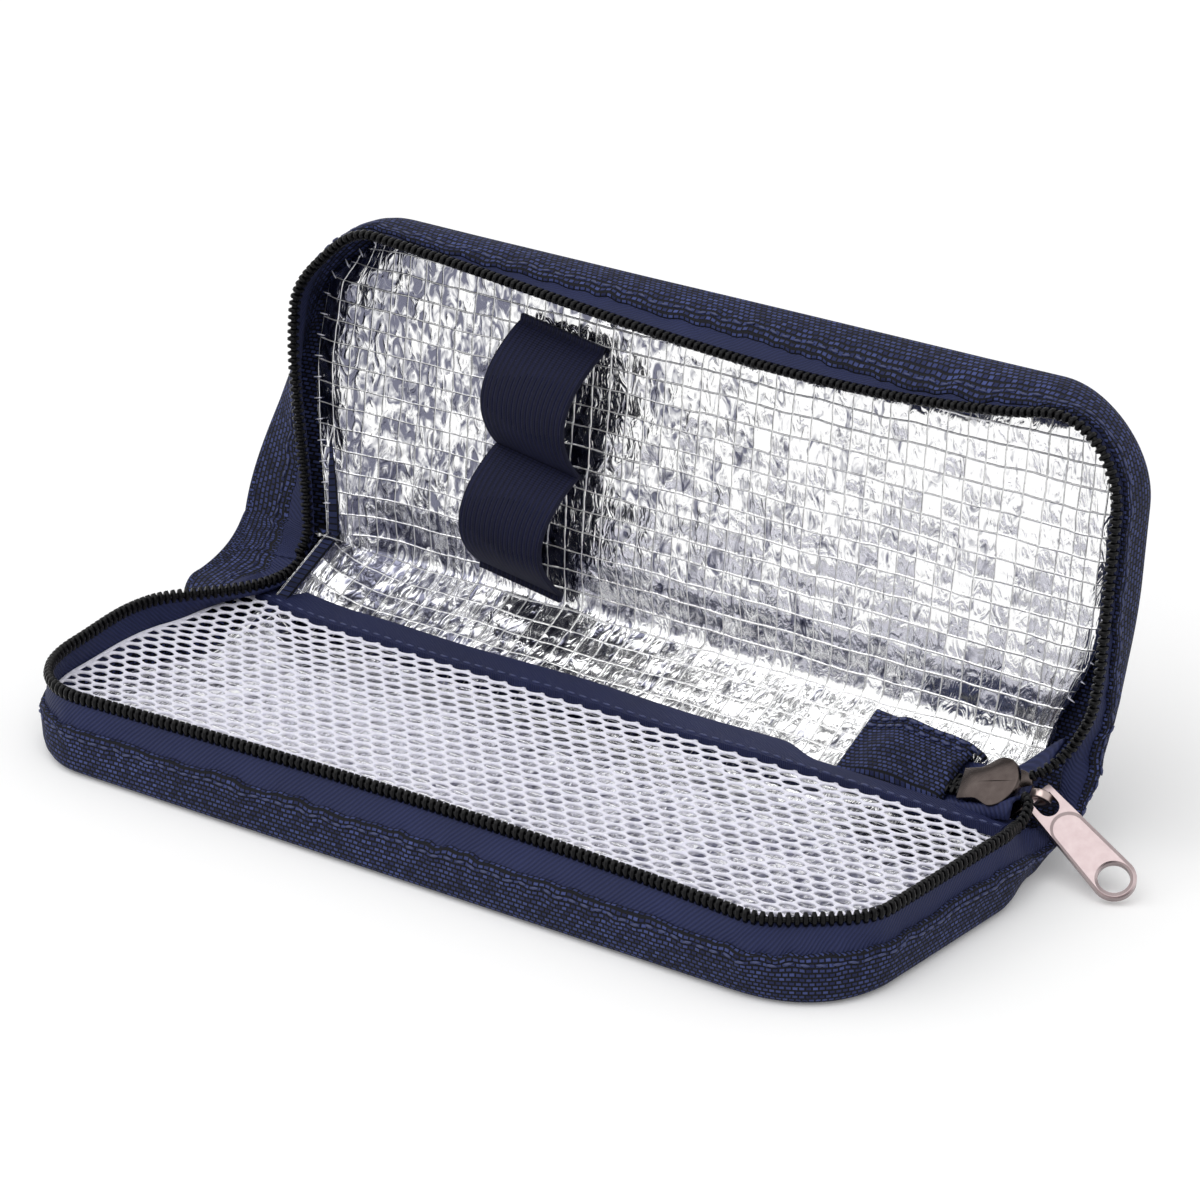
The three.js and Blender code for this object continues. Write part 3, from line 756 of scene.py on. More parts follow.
def stations(first, last):
    """Points of the flat outline from one side round to the other."""
    across = spaced(-corner_across, corner_across, round(front_length / cloth_step))
    front = [(x, panel_depth) for x in across]
    return [(-x, y) for x, y in side_stations(first)] + front + side_stations(last)[::-1]


def rim_stations(half, first, last):
    """Points along the coil of one half, folded into place."""
    points = []
    for x, y in stations(first, last):
        point = Vector((x, y, coil_height))
        behind = outward(x, y) * (tape_set + tape_thickness / 2)
        inset = outward(x, y) * wall_inset(half, x, y, rim_height)
        point.z += wall_lift(half, x, y, coil_height)
        points.append(folded(half, point - behind - inset))
    return points


def away_from(centre):
    return lambda place: place - centre


def always(direction):
    return lambda place: direction


for half in (lower, cover):
    half.middle = half.place @ Vector((0, side_length / 2, coil_height))

# The slider's place on the spine, which its coils, its tape and its pull share: it is tilted up towards its
# nose, where the two coils come in.
slider_from_end = 16.1
slider_along = 9.3
slider_height = 11.3
slider_tilt = math.radians(18)
slider_yaw = math.radians(6)
slider_roll = math.radians(14)
slider_length = 14
coil_spread = 2.4
coil_turn = 3
lower_leave = 6
slider_turned = Matrix.Rotation(slider_yaw, 4, "Z") @ Matrix.Rotation(-slider_tilt, 4, "Y")
slider_turned = slider_turned @ Matrix.Rotation(slider_roll, 4, "X")
slider_spot = Matrix.Translation((half_width - slider_from_end, slider_along, slider_height))
slider_place = spine_place @ slider_spot @ slider_turned
into_slider = slider_place.to_3x3() @ Vector((-coil_turn, 0, 0))


def at_nose(side):
    return slider_place @ Vector((slider_length / 2, side * coil_spread, 0))


lower_rim = rim_stations(lower, lower_leave, -lower.strip)
cover_rim = rim_stations(cover, -cover.strip, cover_reach)
lower_start = curve_between(at_nose(-1), -into_slider, lower_rim[0], Vector((0, -coil_turn, 0)))
cover_finish = curve_between(cover_rim[-1], (cover_rim[-1] - cover_rim[-2]) * coil_turn, at_nose(1),
                             into_slider)
tooth = coil_tooth(*rim_tooth)
lower_coil = repeated("lower_coil", tooth, tooth_pitch, [lower_start + lower_rim], away_from(lower.middle),
                      nylon)
cover_coil = repeated("cover_coil", tooth, tooth_pitch, [cover_rim + cover_finish], away_from(cover.middle),
                      nylon)
follow_folds(lower_coil, cover_coil)
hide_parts("lower_zip_coil", "left_corner_coil")
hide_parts("cover_zip_coil", "right_corner_coil")

# Insulated lining
# Foam sheet faced with aluminised film over a grid of threads, one pad in the lower half and one that runs
# from the spine up the cover.

lining_top = 4.4
lining_thickness = 3.1
lining_edge = 2
lining_roll = 1.4
lining_fold = 2
lining_left = (10, 45)
lining_right = (5, 25)
lining_tuck = 5
cell_pitch = 4.5
cell_swell = 0.3
cell_steps = 5
puff_height = 1.7
puff_reach = 7
puff_first = 3
puff_full = 14
soft_pitch = 34
soft_depth = 0.9

lining_step = cell_pitch / cell_steps

# Aluminised film glued over a grid of threads: a mirror broken into small cells, each tilted its own way,
# with bright lines where the threads lift it and fine creases between them. Its tone holds painted light: it
# is painted darker towards negative x and lighter towards positive x, and painted brighter on the creases'
# crests. The thread lines are painted white, partly the threads' own white and partly a painted highlight.
cell_tilt = 1.1
thread_share = 0.11
thread_height = 0.16
thread_scatter = 0.5
crease_scale = 0.4
crease_stretch = (1, 0.5, 1)
crease_depth = 0.5
crease_distortion = 1.5
foil_detail = 2
grid_wander = 0.35
wander_pitch = 15
chance_share = 0.12
slow_share = 0.2
painted_falloff_share = 0.16
darkest_at = 0.46
whitest_at = 0.66

foil, foil_tree, foil_shader = surface("aluminised film over thread grid", Roughness=0.2)


def vector_math(tree, operation, *inputs, output="Vector"):
    return add_node(tree, "VectorMath", dict(enumerate(inputs)), operation=operation).outputs[output]


def number_math(tree, operation, *inputs):
    return add_node(tree, "Math", dict(enumerate(inputs)), operation=operation).outputs["Value"]


def scaled(tree, vector, factor):
    return vector_math(tree, "MULTIPLY", vector, (factor,) * 3)


def weighted_sum(tree, *terms):
    """Adds up values, each times its weight."""
    total = 0
    for value, weight in terms:
        total = number_math(tree, "ADD", total, number_math(tree, "MULTIPLY", value, weight))
    return total


def thread_ridge(tree, offset):
    """1 along a thread, 0 inside a cell; offset runs to a half at the cell's edge."""
    ridge = add_node(tree, "MapRange", {"Value": offset, "From Min": (1 - thread_share) / 2,
                                        "From Max": 1 / 2}, interpolation_type="SMOOTHSTEP")
    return ridge.outputs["Result"]


foil_map = woven_map(foil_tree)
wander = cloudy(foil_tree, foil_map, 1 / wander_pitch, foil_detail)
moved = vector_math(foil_tree, "ADD", foil_map, scaled(foil_tree, wander["Color"], grid_wander * cell_pitch))
in_cells = scaled(foil_tree, moved, 1 / cell_pitch)
chance = add_node(foil_tree, "TexWhiteNoise", {"Vector": vector_math(foil_tree, "FLOOR", in_cells)}).outputs
place = vector_math(foil_tree, "SUBTRACT", vector_math(foil_tree, "FRACTION", in_cells), (1 / 2, 1 / 2, 0))
lean = vector_math(foil_tree, "SUBTRACT", chance["Color"], (1 / 2,) * 3)
slope = vector_math(foil_tree, "DOT_PRODUCT", lean, place, output="Value")
offsets = add_node(foil_tree, "SeparateXYZ", {"Vector": vector_math(foil_tree, "ABSOLUTE", place)}).outputs
threads = number_math(foil_tree, "MAXIMUM", thread_ridge(foil_tree, offsets["X"]),
                      thread_ridge(foil_tree, offsets["Y"]))
creases = cloudy(foil_tree, vector_math(foil_tree, "MULTIPLY", foil_map, crease_stretch), crease_scale,
                 foil_detail, Distortion=crease_distortion)["Fac"]
raised(foil_tree, foil_shader, weighted_sum(foil_tree, (slope, cell_tilt), (threads, thread_height),
                                            (creases, crease_depth)), 1)
# Painted light: the film's tone is painted darker towards negative x of its map and lighter towards positive
# x.
painted_light_falloff = add_node(foil_tree, "MapRange", {
    "Value": add_node(foil_tree, "SeparateXYZ", {"Vector": foil_map}).outputs["X"], "From Min": -half_width,
    "From Max": half_width, "To Min": -painted_falloff_share, "To Max": painted_falloff_share}).outputs["Result"]
# The tone adds random cell chance and slow wander, and it also follows the creases' relief, brighter on
# their crests: painted reflection.
tone_with_painted_light = add_node(foil_tree, "ValToRGB", {"Fac": weighted_sum(
    foil_tree, (chance["Value"], chance_share), (wander["Fac"], slow_share), (painted_light_falloff, 1), (creases, 1))})
darkest, whitest = tone_with_painted_light.color_ramp.elements
darkest.position = darkest_at
darkest.color = linear("777889")
whitest.position = whitest_at
whitest.color = linear("ffffff")
# The thread lines are painted white with less metal, partly the threads' own white and partly a painted
# highlight along their ridges.
thread_white_and_highlight = add_node(foil_tree, "MixRGB", {"Fac": threads, "Color1": tone_with_painted_light.outputs["Color"],
                                        "Color2": linear("ffffff")})
foil_tree.links.new(thread_white_and_highlight.outputs["Color"], foil_shader.inputs["Base Color"])
scatter = number_math(foil_tree, "SUBTRACT", 1, number_math(foil_tree, "MULTIPLY", threads, thread_scatter))
foil_tree.links.new(scatter, foil_shader.inputs["Metallic"])


def lined(half, point):
    """Sets a point of the flat lining in behind the wall, further at the zip's ends."""
    x, y, z = point
    inset, length = lining_left if half.side * x < 0 else lining_right
    tuck = lining_tuck if half is cover and x > 0 else 0
    end = (inset * (1 - ease(y, 0, length)) + tuck) * ease(abs(x), half_width - inset_reach, half_width)
    lifted = splayed(half, point - outward(x, y) * wall_inset(half, x, y, z) * near_wall(x, y))
    lifted.x -= math.copysign(end + (abs(lifted.x) - abs(x)) * (lifted.z > z), x)
    return lifted


def puff(half, x, y):
    """How far the foam stands up inside the rim; its slope mirrors the dark wall."""
    inside = behind_rim(x, y) - wall_inset(half, x, y, rim_height)
    return puff_height * ease(inside, 0, puff_reach) * ease(y, puff_first, puff_full)


def swell(half, x, y):
    """The film's relief: a small cushion in each cell over the slow waves of the foam."""
    across = abs(math.sin(math.pi * x / cell_pitch))
    along = abs(math.sin(math.pi * y / cell_pitch))
    soft = noise.noise(Vector((x, y, 0)) / soft_pitch)
    return cell_swell * (math.sqrt(across * along) - 1) + soft_depth * min(soft, 0) + puff(half, x, y)


def lining_place(point):
    """Carries the cover's lining down over the fold and along the spine."""
    crease = (lining_top - fold_height) * math.tan(cover.fold_turn / 2)
    x, y, z = point
    if y >= lining_fold:
        return cover_place @ Vector((x, y + crease, z))
    on_strip = spine_place @ Vector((x, spine_length - crease + min(y, -lining_fold), z))
    if y <= -lining_fold:
        return on_strip
    on_cover = cover_place @ Vector((x, lining_fold + crease, z))
    corner = cover_place @ Vector((x, crease, z))
    return bend(on_strip, corner, on_cover, (y + lining_fold) / (2 * lining_fold))


def lining(name, half, first, put):
    """One pad from y = first to the far wall; put takes a point of the flat half to its place."""
    bm = bmesh.new()
    edge = lining_edge - half_width
    verts, _ = chain(bm, [
        (edge, first, lining_top - lining_thickness + foot_height),
        (edge, first, lining_top),
        (-corner_across, first, lining_top),
    ])
    round_off(bm, verts[1], lining_roll, edge_roll_steps)
    cut_fine(bm, lining_step)
    run_round(bm, list(bm.edges), first, lining_step)
    fill_middle(bm, first, lining_top, lining_step)
    bmesh.ops.recalc_face_normals(bm, faces=bm.faces)
    for face in bm.faces:
        face.material_index = face.calc_center_median().z < lining_top - lining_roll
    lay_weave(bm)
    for vert in bm.verts:
        x, y, z = vert.co
        lift = swell(half, x, y) if z > foot_height + lining_roll else 0
        vert.co = put(lined(half, vert.co + Vector((0, 0, lift))))
    return thickened(finish_piece(name, bm, [foil, oxford]), lining_thickness)


lower_lining = lining("lower_lining", lower, 0, lambda point: lower_place @ point)
upper_lining = lining("upper_lining", cover, -spine_length, lining_place)
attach(lower_lining, "base")
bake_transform(upper_lining)
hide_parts("lower_foam", "lower_foil")
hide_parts("spine_foam", "spine_foil", "cover_foam", "cover_foil")

# Cut ends of the grid's white threads stick out past the film all round the cover, as short bright hairs.
tip_length = 2.6
tip_radius = 0.17
tip_first = 8

bare_thread, _, _ = surface("bare polyester thread", Base_Color=linear("f4f4ff"), Roughness=0.5)


def bead(radius, stretch):
    """A small round item, stretched along its axes."""
    bm = bmesh.new()
    bmesh.ops.create_icosphere(bm, subdivisions=1, radius=radius)
    bmesh.ops.scale(bm, verts=bm.verts, vec=stretch)
    return as_item("bead", bm)


tip_line = []
for x, y in stations(tip_first, tip_first):
    edge = Vector((x, y, lining_top)) - outward(x, y) * (lining_edge + lining_roll / 2)
    tip_line.append(lining_place(lined(cover, edge)))
thread_tips = repeated("thread_tips", bead(tip_radius, (tip_length / tip_radius / 2, 1, 1)), cell_pitch,
                       [tip_line], away_from(cover.middle), bare_thread)
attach(thread_tips, "cover")

# Mesh pocket
# White knitted net with a honeycomb of holes, stretched over the lower half and held in the seam of the rim.

net_height = 10.2
net_pitch = 4.8
net_row = 2.65
net_strand = 0.62
net_thickness = 0.55
net_mouth = 2.5
net_first_row = 3.7
net_border = 1.3
net_corner_cuts = 6
net_sides = 6
net_fibre_scale = 1.5
net_fibre_depth = 0.15
net_fibre_detail = 3


def grained(name, scale, detail, depth, dark, light, **values):
    """A material with slow changes of tone and a fine relief of the same grain."""
    material, tree, shader = surface(name, **values)
    place = add_node(tree, "TexCoord", {}).outputs["Object"]
    grain = cloudy(tree, scaled(tree, place, 1 / mm), scale, detail)["Fac"]
    tree.links.new(two_tone(tree, grain, dark, light), shader.inputs["Base Color"])
    raised(tree, shader, grain, depth)
    return material


# Knitted polyester: matt white strands of many fine fibres.
knit = grained("knitted white polyester", net_fibre_scale, net_fibre_detail, net_fibre_depth, "d5d4ea",
               "fbfaff", Roughness=0.75, Sheen_Weight=0.3)


def whole(bm):
    return list(bm.verts) + list(bm.edges) + list(bm.faces)


def cut_off(bm, at, facing):
    """Cuts away what lies beyond a plane."""
    bmesh.ops.bisect_plane(bm, geom=whole(bm), plane_co=at, plane_no=facing, clear_outer=True)


def net_mesh():
    """A field of hexagons with a hole in each, cut to the outline of the half, with a border."""
    bm = bmesh.new()
    rows = int((panel_depth - net_mouth) / net_row) + 1
    columns = int(half_width / net_pitch) + 1
    radius = net_pitch / math.sqrt(3)
    squeeze = net_row / (radius * 3 / 2)
    for row in range(rows):
        for column in range(-columns, columns + 1):
            cell = bmesh.ops.create_circle(bm, cap_ends=True, radius=radius, segments=net_sides)["verts"]
            bmesh.ops.scale(bm, verts=cell, vec=(1, squeeze, 1))
            middle = ((column + (row % 2) / 2) * net_pitch, net_first_row + row * net_row, net_height)
            bmesh.ops.translate(bm, verts=cell, vec=middle)
    bmesh.ops.remove_doubles(bm, verts=bm.verts, dist=net_strand / 2)
    bmesh.ops.inset_individual(bm, faces=bm.faces, thickness=net_strand / 2)
    holes = [face for face in bm.faces if len(face.verts) == net_sides]
    bmesh.ops.delete(bm, geom=holes, context="FACES")
    cut_off(bm, (0, net_mouth, 0), (0, -1, 0))
    cut_off(bm, (0, panel_depth, 0), (0, 1, 0))
    for side in (-1, 1):
        cut_off(bm, (side * half_width, 0, 0), (side, 0, 0))
        centre = Vector((side * corner_across, side_length, 0))
        for turn in spaced(0, math.pi / 2, net_corner_cuts)[1:-1]:
            facing = Vector((side * math.cos(turn), math.sin(turn), 0))
            cut_off(bm, centre + facing * corner_radius, facing)
    outer, inner = [], []
    for x, y in stations(net_mouth, net_mouth):
        point = Vector((x, y, net_height))
        outer.append(bm.verts.new(point))
        inner.append(bm.verts.new(point - outward(x, y) * net_border))
    for i in range(1, len(outer)):
        bm.faces.new((outer[i - 1], outer[i], inner[i], inner[i - 1]))
    return bm


net_bm = net_mesh()
for vert in net_bm.verts:
    x, y, z = vert.co
    edge = wall_inset(lower, x, y, net_height) + tape_set + tape_thickness
    drawn = outward(x, y) * edge - Vector((0, 0, wall_lift(lower, x, y, net_height)))
    vert.co = folded(lower, splayed(lower, vert.co - drawn * near_wall(x, y)))
mesh_pocket = thickened(finish_piece("pocket_net", net_bm, [knit]), net_thickness, 0)
rounding = mesh_pocket.modifiers.new("Rounding", "SUBSURF")
rounding.levels = 1
rounding.render_levels = 1
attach(mesh_pocket, "base")
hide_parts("mesh_pocket")

# Elastic pen loops
# One navy elastic band, ribbed along its length and sewn down at three places so that it holds two pens.

elastic_width = 21.5
elastic_thickness = 1
loop_length = 26
loop_bulge = 9
loop_tail = 2
loop_stitch = 0.8
loop_base = 3
elastic_centre = -38.7
elastic_slant = math.radians(-7.9)
bulge_power = 0.8
elastic_step = 0.6
elastic_clearance = 0.3
rib_pitch = 1.25
rib_depth = 0.22
rib_steps = 4
elastic_pick = 0.7
elastic_pick_depth = 0.06
elastic_darker = 0.8

elastic_rest = lining_top + elastic_clearance + elastic_thickness
band_middle = loop_tail + loop_length
band_length = 2 * band_middle + loop_stitch

# Woven elastic: dull navy yarn over rubber cores, in ribs with fine cross lines.
elastic_cloth = ribbed_cloth("ribbed elastic", (rib_pitch, "X"), (elastic_pick, "Y"), elastic_pick_depth,
                             ("0d0f22", "1a1d3a"), elastic_darker, Roughness=0.75, Specular_IOR_Level=0.2)


def band_lift(along):
    """How far the band stands off the lining at a distance along it."""
    start = loop_tail
    for _ in range(2):
        share = (along - start) / loop_length
        if 0 < share < 1:
            return loop_bulge * math.sin(math.pi * share) ** bulge_power
        start += loop_length + loop_stitch
    return 0


elastic_bm = bmesh.new()
add_grid(elastic_bm, -elastic_width / 2, elastic_width / 2, 0, band_length, rib_pitch / rib_steps,
         elastic_step)
lay_weave(elastic_bm)
slanted = Matrix.Rotation(elastic_slant, 3, "Z")
for vert in elastic_bm.verts:
    x, y, _ = vert.co
    rib = rib_depth * abs(math.sin(math.pi * x / rib_pitch))
    flat = slanted @ Vector((x, y - band_middle, 0))
    flat += Vector((elastic_centre, band_middle + loop_base, elastic_rest))
    flat.z += puff(cover, flat.x, flat.y) + band_lift(y) + rib
    vert.co = cover_place @ flat
bmesh.ops.recalc_face_normals(elastic_bm, faces=elastic_bm.faces)
elastic_band = thickened(finish_piece("elastic_band", elastic_bm, [elastic_cloth]), elastic_thickness)
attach(elastic_band, "cover")
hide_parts("elastic_pen_loops")

# Pocket binding
# Woven navy tape folded over the net's free edge and sewn through both layers. Only its ends are fixed, in
# the seam of the rim, so it waves a little and stands off the lining.

binding_right = 93
binding_left = 98
binding_overhang = 5
binding_lap = 4
binding_low = 9.2
binding_high = 11.5
binding_fold = 0.75
binding_drawn_back = 4.3
binding_free_until = 36
binding_back_from = 48
binding_wave = 0.5
binding_wave_pitch = 30
binding_step = 1.3
grosgrain_pitch = 0.9
grosgrain_depth = 0.12
binding_darker = 0.8
binding_crease = math.radians(50)

binding_length = binding_left + binding_right

# Grosgrain: fine cross ribs, a little brighter than the oxford.
grosgrain = (grosgrain_pitch, "X")
binding_cloth = ribbed_cloth("folded grosgrain tape", grosgrain, grosgrain, grosgrain_depth,
                             ("161b3a", "212850"), binding_darker, Roughness=0.65, Specular_IOR_Level=0.25)


def binding_line(x, y, z):
    """Where a point of the straight binding lies; the lower half's right end is at negative x."""
    beside_patch = ease(-x, binding_free_until, binding_back_from)
    back = (binding_lap - y) / (binding_lap + binding_overhang)
    wave = binding_wave * noise.noise(Vector((x / binding_wave_pitch, 0, 0)))
    return splayed(lower, Vector((x, y + binding_drawn_back * beside_patch * back, z + wave)))


binding_bm = bmesh.new()
corners, _ = chain(binding_bm, [
    (-binding_right, -binding_overhang, binding_low),
    (-binding_right, binding_lap, binding_low),
    (-binding_right, binding_lap, binding_high),
    (-binding_right, -binding_overhang, binding_high),
])
binding_bm.edges.new((corners[-1], corners[0]))
for corner in (corners[0], corners[-1]):
    round_off(binding_bm, corner, binding_fold, edge_roll_steps)
cut_fine(binding_bm, binding_step)
draw_out(binding_bm, list(binding_bm.edges), (binding_length, 0, 0), round(binding_length / binding_step))
bmesh.ops.holes_fill(binding_bm, edges=binding_bm.edges)
bmesh.ops.recalc_face_normals(binding_bm, faces=binding_bm.faces)
binding_uv = binding_bm.loops.layers.uv.new("weave")
for face in binding_bm.faces:
    for loop in face.loops:
        x, y, z = loop.vert.co
        loop[binding_uv].uv = (x, y + z)
for vert in binding_bm.verts:
    vert.co = lower_place @ binding_line(*vert.co)
pocket_edge = finish_piece("pocket_edge_binding", binding_bm, [binding_cloth], binding_crease)
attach(pocket_edge, "base")
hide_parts("pocket_binding")

# Zip end patch
# A strip of the same oxford with turned-in edges, sewn over the start of the zip so that it makes a low
# tunnel.

patch_start = 48.5
patch_length = 27
patch_width = 17
patch_near = 6.2
patch_skew = 2.6
patch_low = 5.5
patch_high = 9.7
patch_ramp_share = 0.45
patch_edge = 1.8
patch_turn = 1.2
patch_thickness = 1.1
patch_step = 0.9
patch_ridge = 0.9
patch_ridge_reach = 3
patch_rumple = 0.7
patch_rumple_pitch = 7


def flat_sheet(length, width, step):
    """A cloth lying flat from the origin, with its weave."""
    bm = bmesh.new()
    add_grid(bm, 0, length, 0, width, step, step)
    lay_weave(bm)
    return bm


def patch_point(x, y, proud=0):
    """Where a point of the flat patch lies on the spine."""
    from_edge = min(y, patch_width - y)
    tunnel = ease(x / patch_length, 0, patch_ramp_share) * ease(from_edge, 0, patch_edge)
    ridge = patch_ridge * hump(y - patch_width / 2, patch_ridge_reach) * tunnel
    rumple = patch_rumple * noise.noise(Vector((x, y, 0)) / patch_rumple_pitch) * tunnel
    turned = patch_turn * ease(x, patch_length - patch_turn, patch_length)
    height = mix(patch_low, patch_high, tunnel) + ridge + rumple - turned + proud
    near = patch_near - patch_skew * x / patch_length
    return spine_place @ Vector((patch_start + x, near + y, height))


patch_bm = flat_sheet(patch_length, patch_width, patch_step)
for vert in patch_bm.verts:
    vert.co = patch_point(vert.co.x, vert.co.y)
zip_patch = thickened(finish_piece("zip_start_patch", patch_bm, [oxford]), patch_thickness)
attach(zip_patch, "spine")
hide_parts("zip_end_patch")

# Closed end of the zip
# The last meshed stretch of the coil, between the patch and the slider, on its navy tape. The tape's cut end
# is folded over beside the slider.

chain_start = 66
chain_bed = 6.9
chain_half = 1
chain_tooth = (3.8, 2.2)
tail_reach = 6.5
end_tape_start = 64
end_tape_length = 29
end_tape_width = 14
end_tape_near = 2.2
end_tape_drop = 1.3
end_tape_lowest = 5.2
end_tape_roll = 2.6
end_tape_roll_at = 2
end_tape_roll_reach = 1.5
end_tape_roll_shares = (1 / 3, 1 / 2)
end_tape_rumple = 0.5
end_tape_rumple_pitch = 5
end_tape_spread = 0.6
end_tape_spread_from = 22

tail = slider_spot @ slider_turned @ Vector((-slider_length / 2, 0, 0))


def chain_rise(x):
    """The height of the closed coil's middle over the spine."""
    before = mix(chain_bed, tail.z, ease(x, chain_start, tail.x))
    return before + max(0, x - tail.x) * math.tan(slider_tilt)


across_spine = always(spine_place.to_3x3() @ Vector((0, 1, 0)))
meshed_tooth = coil_tooth(*chain_tooth)
chain_bm = bmesh.new()
chain_length = round(tail_reach + tail.x - chain_start)
for side, first_share in ((-1, 0), (1, 1 / 2)):
    line = [spine_place @ Vector((x, slider_along + side * chain_half, chain_rise(x)))
            for x in spaced(chain_start, chain_start + chain_length, chain_length)]
    set_along(chain_bm, meshed_tooth, tooth_pitch, line, across_spine, first_share)
closed_coil = finish_piece("closed_coil", chain_bm, [nylon])
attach(closed_coil, "spine")
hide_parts("zip_closed_end")

end_bm = flat_sheet(end_tape_length, end_tape_width, tape_step)
for vert in end_bm.verts:
    x, y, _ = vert.co
    roll = end_tape_roll * hump(y - end_tape_roll_at, end_tape_roll_reach)
    roll *= ease(x / end_tape_length, *end_tape_roll_shares)
    rumple = end_tape_rumple * noise.noise(Vector((x, y, 0)) / end_tape_rumple_pitch)
    height = max(end_tape_lowest, chain_rise(end_tape_start + x) - end_tape_drop)
    y += y * end_tape_spread * ease(x, end_tape_spread_from, end_tape_length)
    vert.co = spine_place @ Vector((end_tape_start + x, end_tape_near + y, height + roll + rumple))
end_tape = thickened(finish_piece("folded_tape_end", end_bm, [tape_cloth]), tape_thickness)
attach(end_tape, "spine")
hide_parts("zip_end_tape")

# Slider
# Die-cast zinc, plated and tumbled: two leaf-shaped plates joined by a post, with flanges that grip the coil
# and a bail of flat bar that carries the pull.

slider_width = 10.4
slider_waist = 6.6
plate_thickness = 1.1
plate_level = 2.35
plate_ridge = 0.35
waist_share = 0.45
bulge_steps = 6
highlight_rim_width = 0.35
nose_steps = 10
flange_drop = 1.3
flange_start_share = 0.85
post_forward = 3.6
post_length = 2.4
bail_width = 1.7
bail_near = 1.4
bail_far = 9.1
bail_low = 5.7
bail_bend = 1.2
bail_steps = 5
metal_edge = 0.18
metal_edge_steps = 2
metal_crease = math.radians(12)
mirror_merge = 0.018
dent_scale = 0.6
dent_depth = 0.02
dent_detail = 4

# Plated zinc: a dark, warm mirror with slow changes of tone and fine dents left by tumbling; the plates'
# rim, the bail and the post take a lighter zinc, a painted highlight.
plated_zinc = grained("plated die-cast zinc", dent_scale, dent_detail, dent_depth, "3d3533", "574f4c",
                      Metallic=1, Roughness=0.24)
painted_highlight_zinc, _, _ = surface("painted highlight zinc", Base_Color=linear("b8a8a3"), Metallic=1, Roughness=0.3)


def arc(bm, vert, centre, angle, steps):
    """Turns a vertex about a centre and returns the vertices of the arc."""
    before = len(bm.verts)
    bmesh.ops.spin(bm, geom=[vert], cent=centre, axis=(0, 0, 1), angle=angle, steps=steps)
    bm.verts.ensure_lookup_table()
    return list(bm.verts)[before:]


def mirrored(bm):
    """Adds the other half of a shape drawn on one side of the XZ plane."""
    bmesh.ops.mirror(bm, geom=whole(bm), matrix=Matrix.Identity(4), merge_dist=mirror_merge, axis="Y")
    bmesh.ops.recalc_face_normals(bm, faces=bm.faces)


def leaf_plate(level, ridge):
    """One plate of the slider, drawn as one half and mirrored."""
    bm = bmesh.new()
    half = slider_length / 2
    nose = half - slider_width / 2
    waist = -half * waist_share
    outline = [(-half, 0, level), (-half, slider_waist / 2, level)]
    for x in spaced(waist, nose, bulge_steps):
        outline.append((x, mix(slider_waist, slider_width, ease(x, waist, nose)) / 2, level))
    verts, _ = chain(bm, outline)
    rounded = arc(bm, verts[-1], (nose, 0, level), -math.pi / 2, nose_steps)
    crown = bm.verts.new((nose, 0, level + ridge))
    root = bm.verts.new((waist, 0, level + ridge))
    bm.faces.new(verts + rounded + [crown, root])
    mirrored(bm)
    # The inset rim round the plate takes the lighter zinc: a painted highlight.
    for face in bmesh.ops.inset_region(bm, faces=bm.faces, thickness=highlight_rim_width,
                                       use_even_offset=True)["faces"]:
        face.material_index = 1
    return bm


def add_strip(bm, points, width):
    """A flat bar bent along a line in the XZ plane."""
    verts, _ = chain(bm, [(x, -width / 2, z) for x, z in points])
    for vert in verts[1:-1]:
        round_off(bm, vert, bail_bend, bail_steps)
    loose = [edge for edge in bm.edges if not edge.link_faces]
    before = len(bm.faces)
    draw_out(bm, loose, (0, width, 0), 1)
    bm.faces.ensure_lookup_table()
    for face in bm.faces[before:]:
        # Each bar takes the lighter zinc: a painted highlight.
        face.material_index = 1


slider_bm = leaf_plate(plate_level, plate_ridge)
slider_bm.from_mesh(as_item("plate", leaf_plate(-plate_level, 0)))
add_strip(slider_bm, [(bail_near, -plate_level), (bail_near, -bail_low), (bail_far, -bail_low),
                      (bail_far, -plate_level), (post_forward, -plate_level)], bail_width)
add_strip(slider_bm, [(post_forward, -plate_level), (post_forward, plate_level)], post_length)
flange_start = -flange_start_share * slider_length / 2
flange_edge = (slider_waist - plate_thickness) / 2
for side in (-flange_edge, flange_edge):
    for level in (-1, 1):
        _, flange = chain(slider_bm, [(flange_start, side, level * plate_level),
                                      (flange_start, side, level * (plate_level - flange_drop))])
        draw_out(slider_bm, flange, (slider_length / 2, 0, 0), 1)
bmesh.ops.recalc_face_normals(slider_bm, faces=slider_bm.faces)
bmesh.ops.transform(slider_bm, matrix=slider_place, verts=slider_bm.verts)


def softened(piece):
    """Rounds the edges of a metal piece."""
    edges = piece.modifiers.new("Edges", "BEVEL")
    edges.width = metal_edge * mm
    edges.segments = metal_edge_steps
    edges.limit_method = "ANGLE"
    return piece


zip_slider = finish_piece("zip_slider", slider_bm, [plated_zinc, painted_highlight_zinc], metal_crease)
softened(thickened(zip_slider, plate_thickness, 0))
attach(zip_slider, "slider")
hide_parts("slider_body")

# Pull tab
# Stamped and nickel-plated: a long tab with a raised border round a satin field, a round hole at the free
# end and an eye that hangs on the bail.

pivot_forward = 7.2
pivot_below = 3.85
pull_drop = math.radians(20.4)
pull_skew = math.radians(22)
pull_reach = 26.4
pull_near_width = 6.2
pull_far_width = 8.6
pull_thickness = 1.4
pull_rim = 0.55
pull_recess = 0.3
hole_radius = 3.1
hole_steps = 16
eye_length = 4.4
eye_width = 4.2
eye_bar = 1.3
field_start = 9.05

# Nickel plate: a pale, slightly pink metal with a satin bead-blasted finish.
nickel = grained("satin nickel plate", dent_scale, dent_detail, dent_depth, "99898a", "ada0a0", Metallic=1,
                 Roughness=0.34)

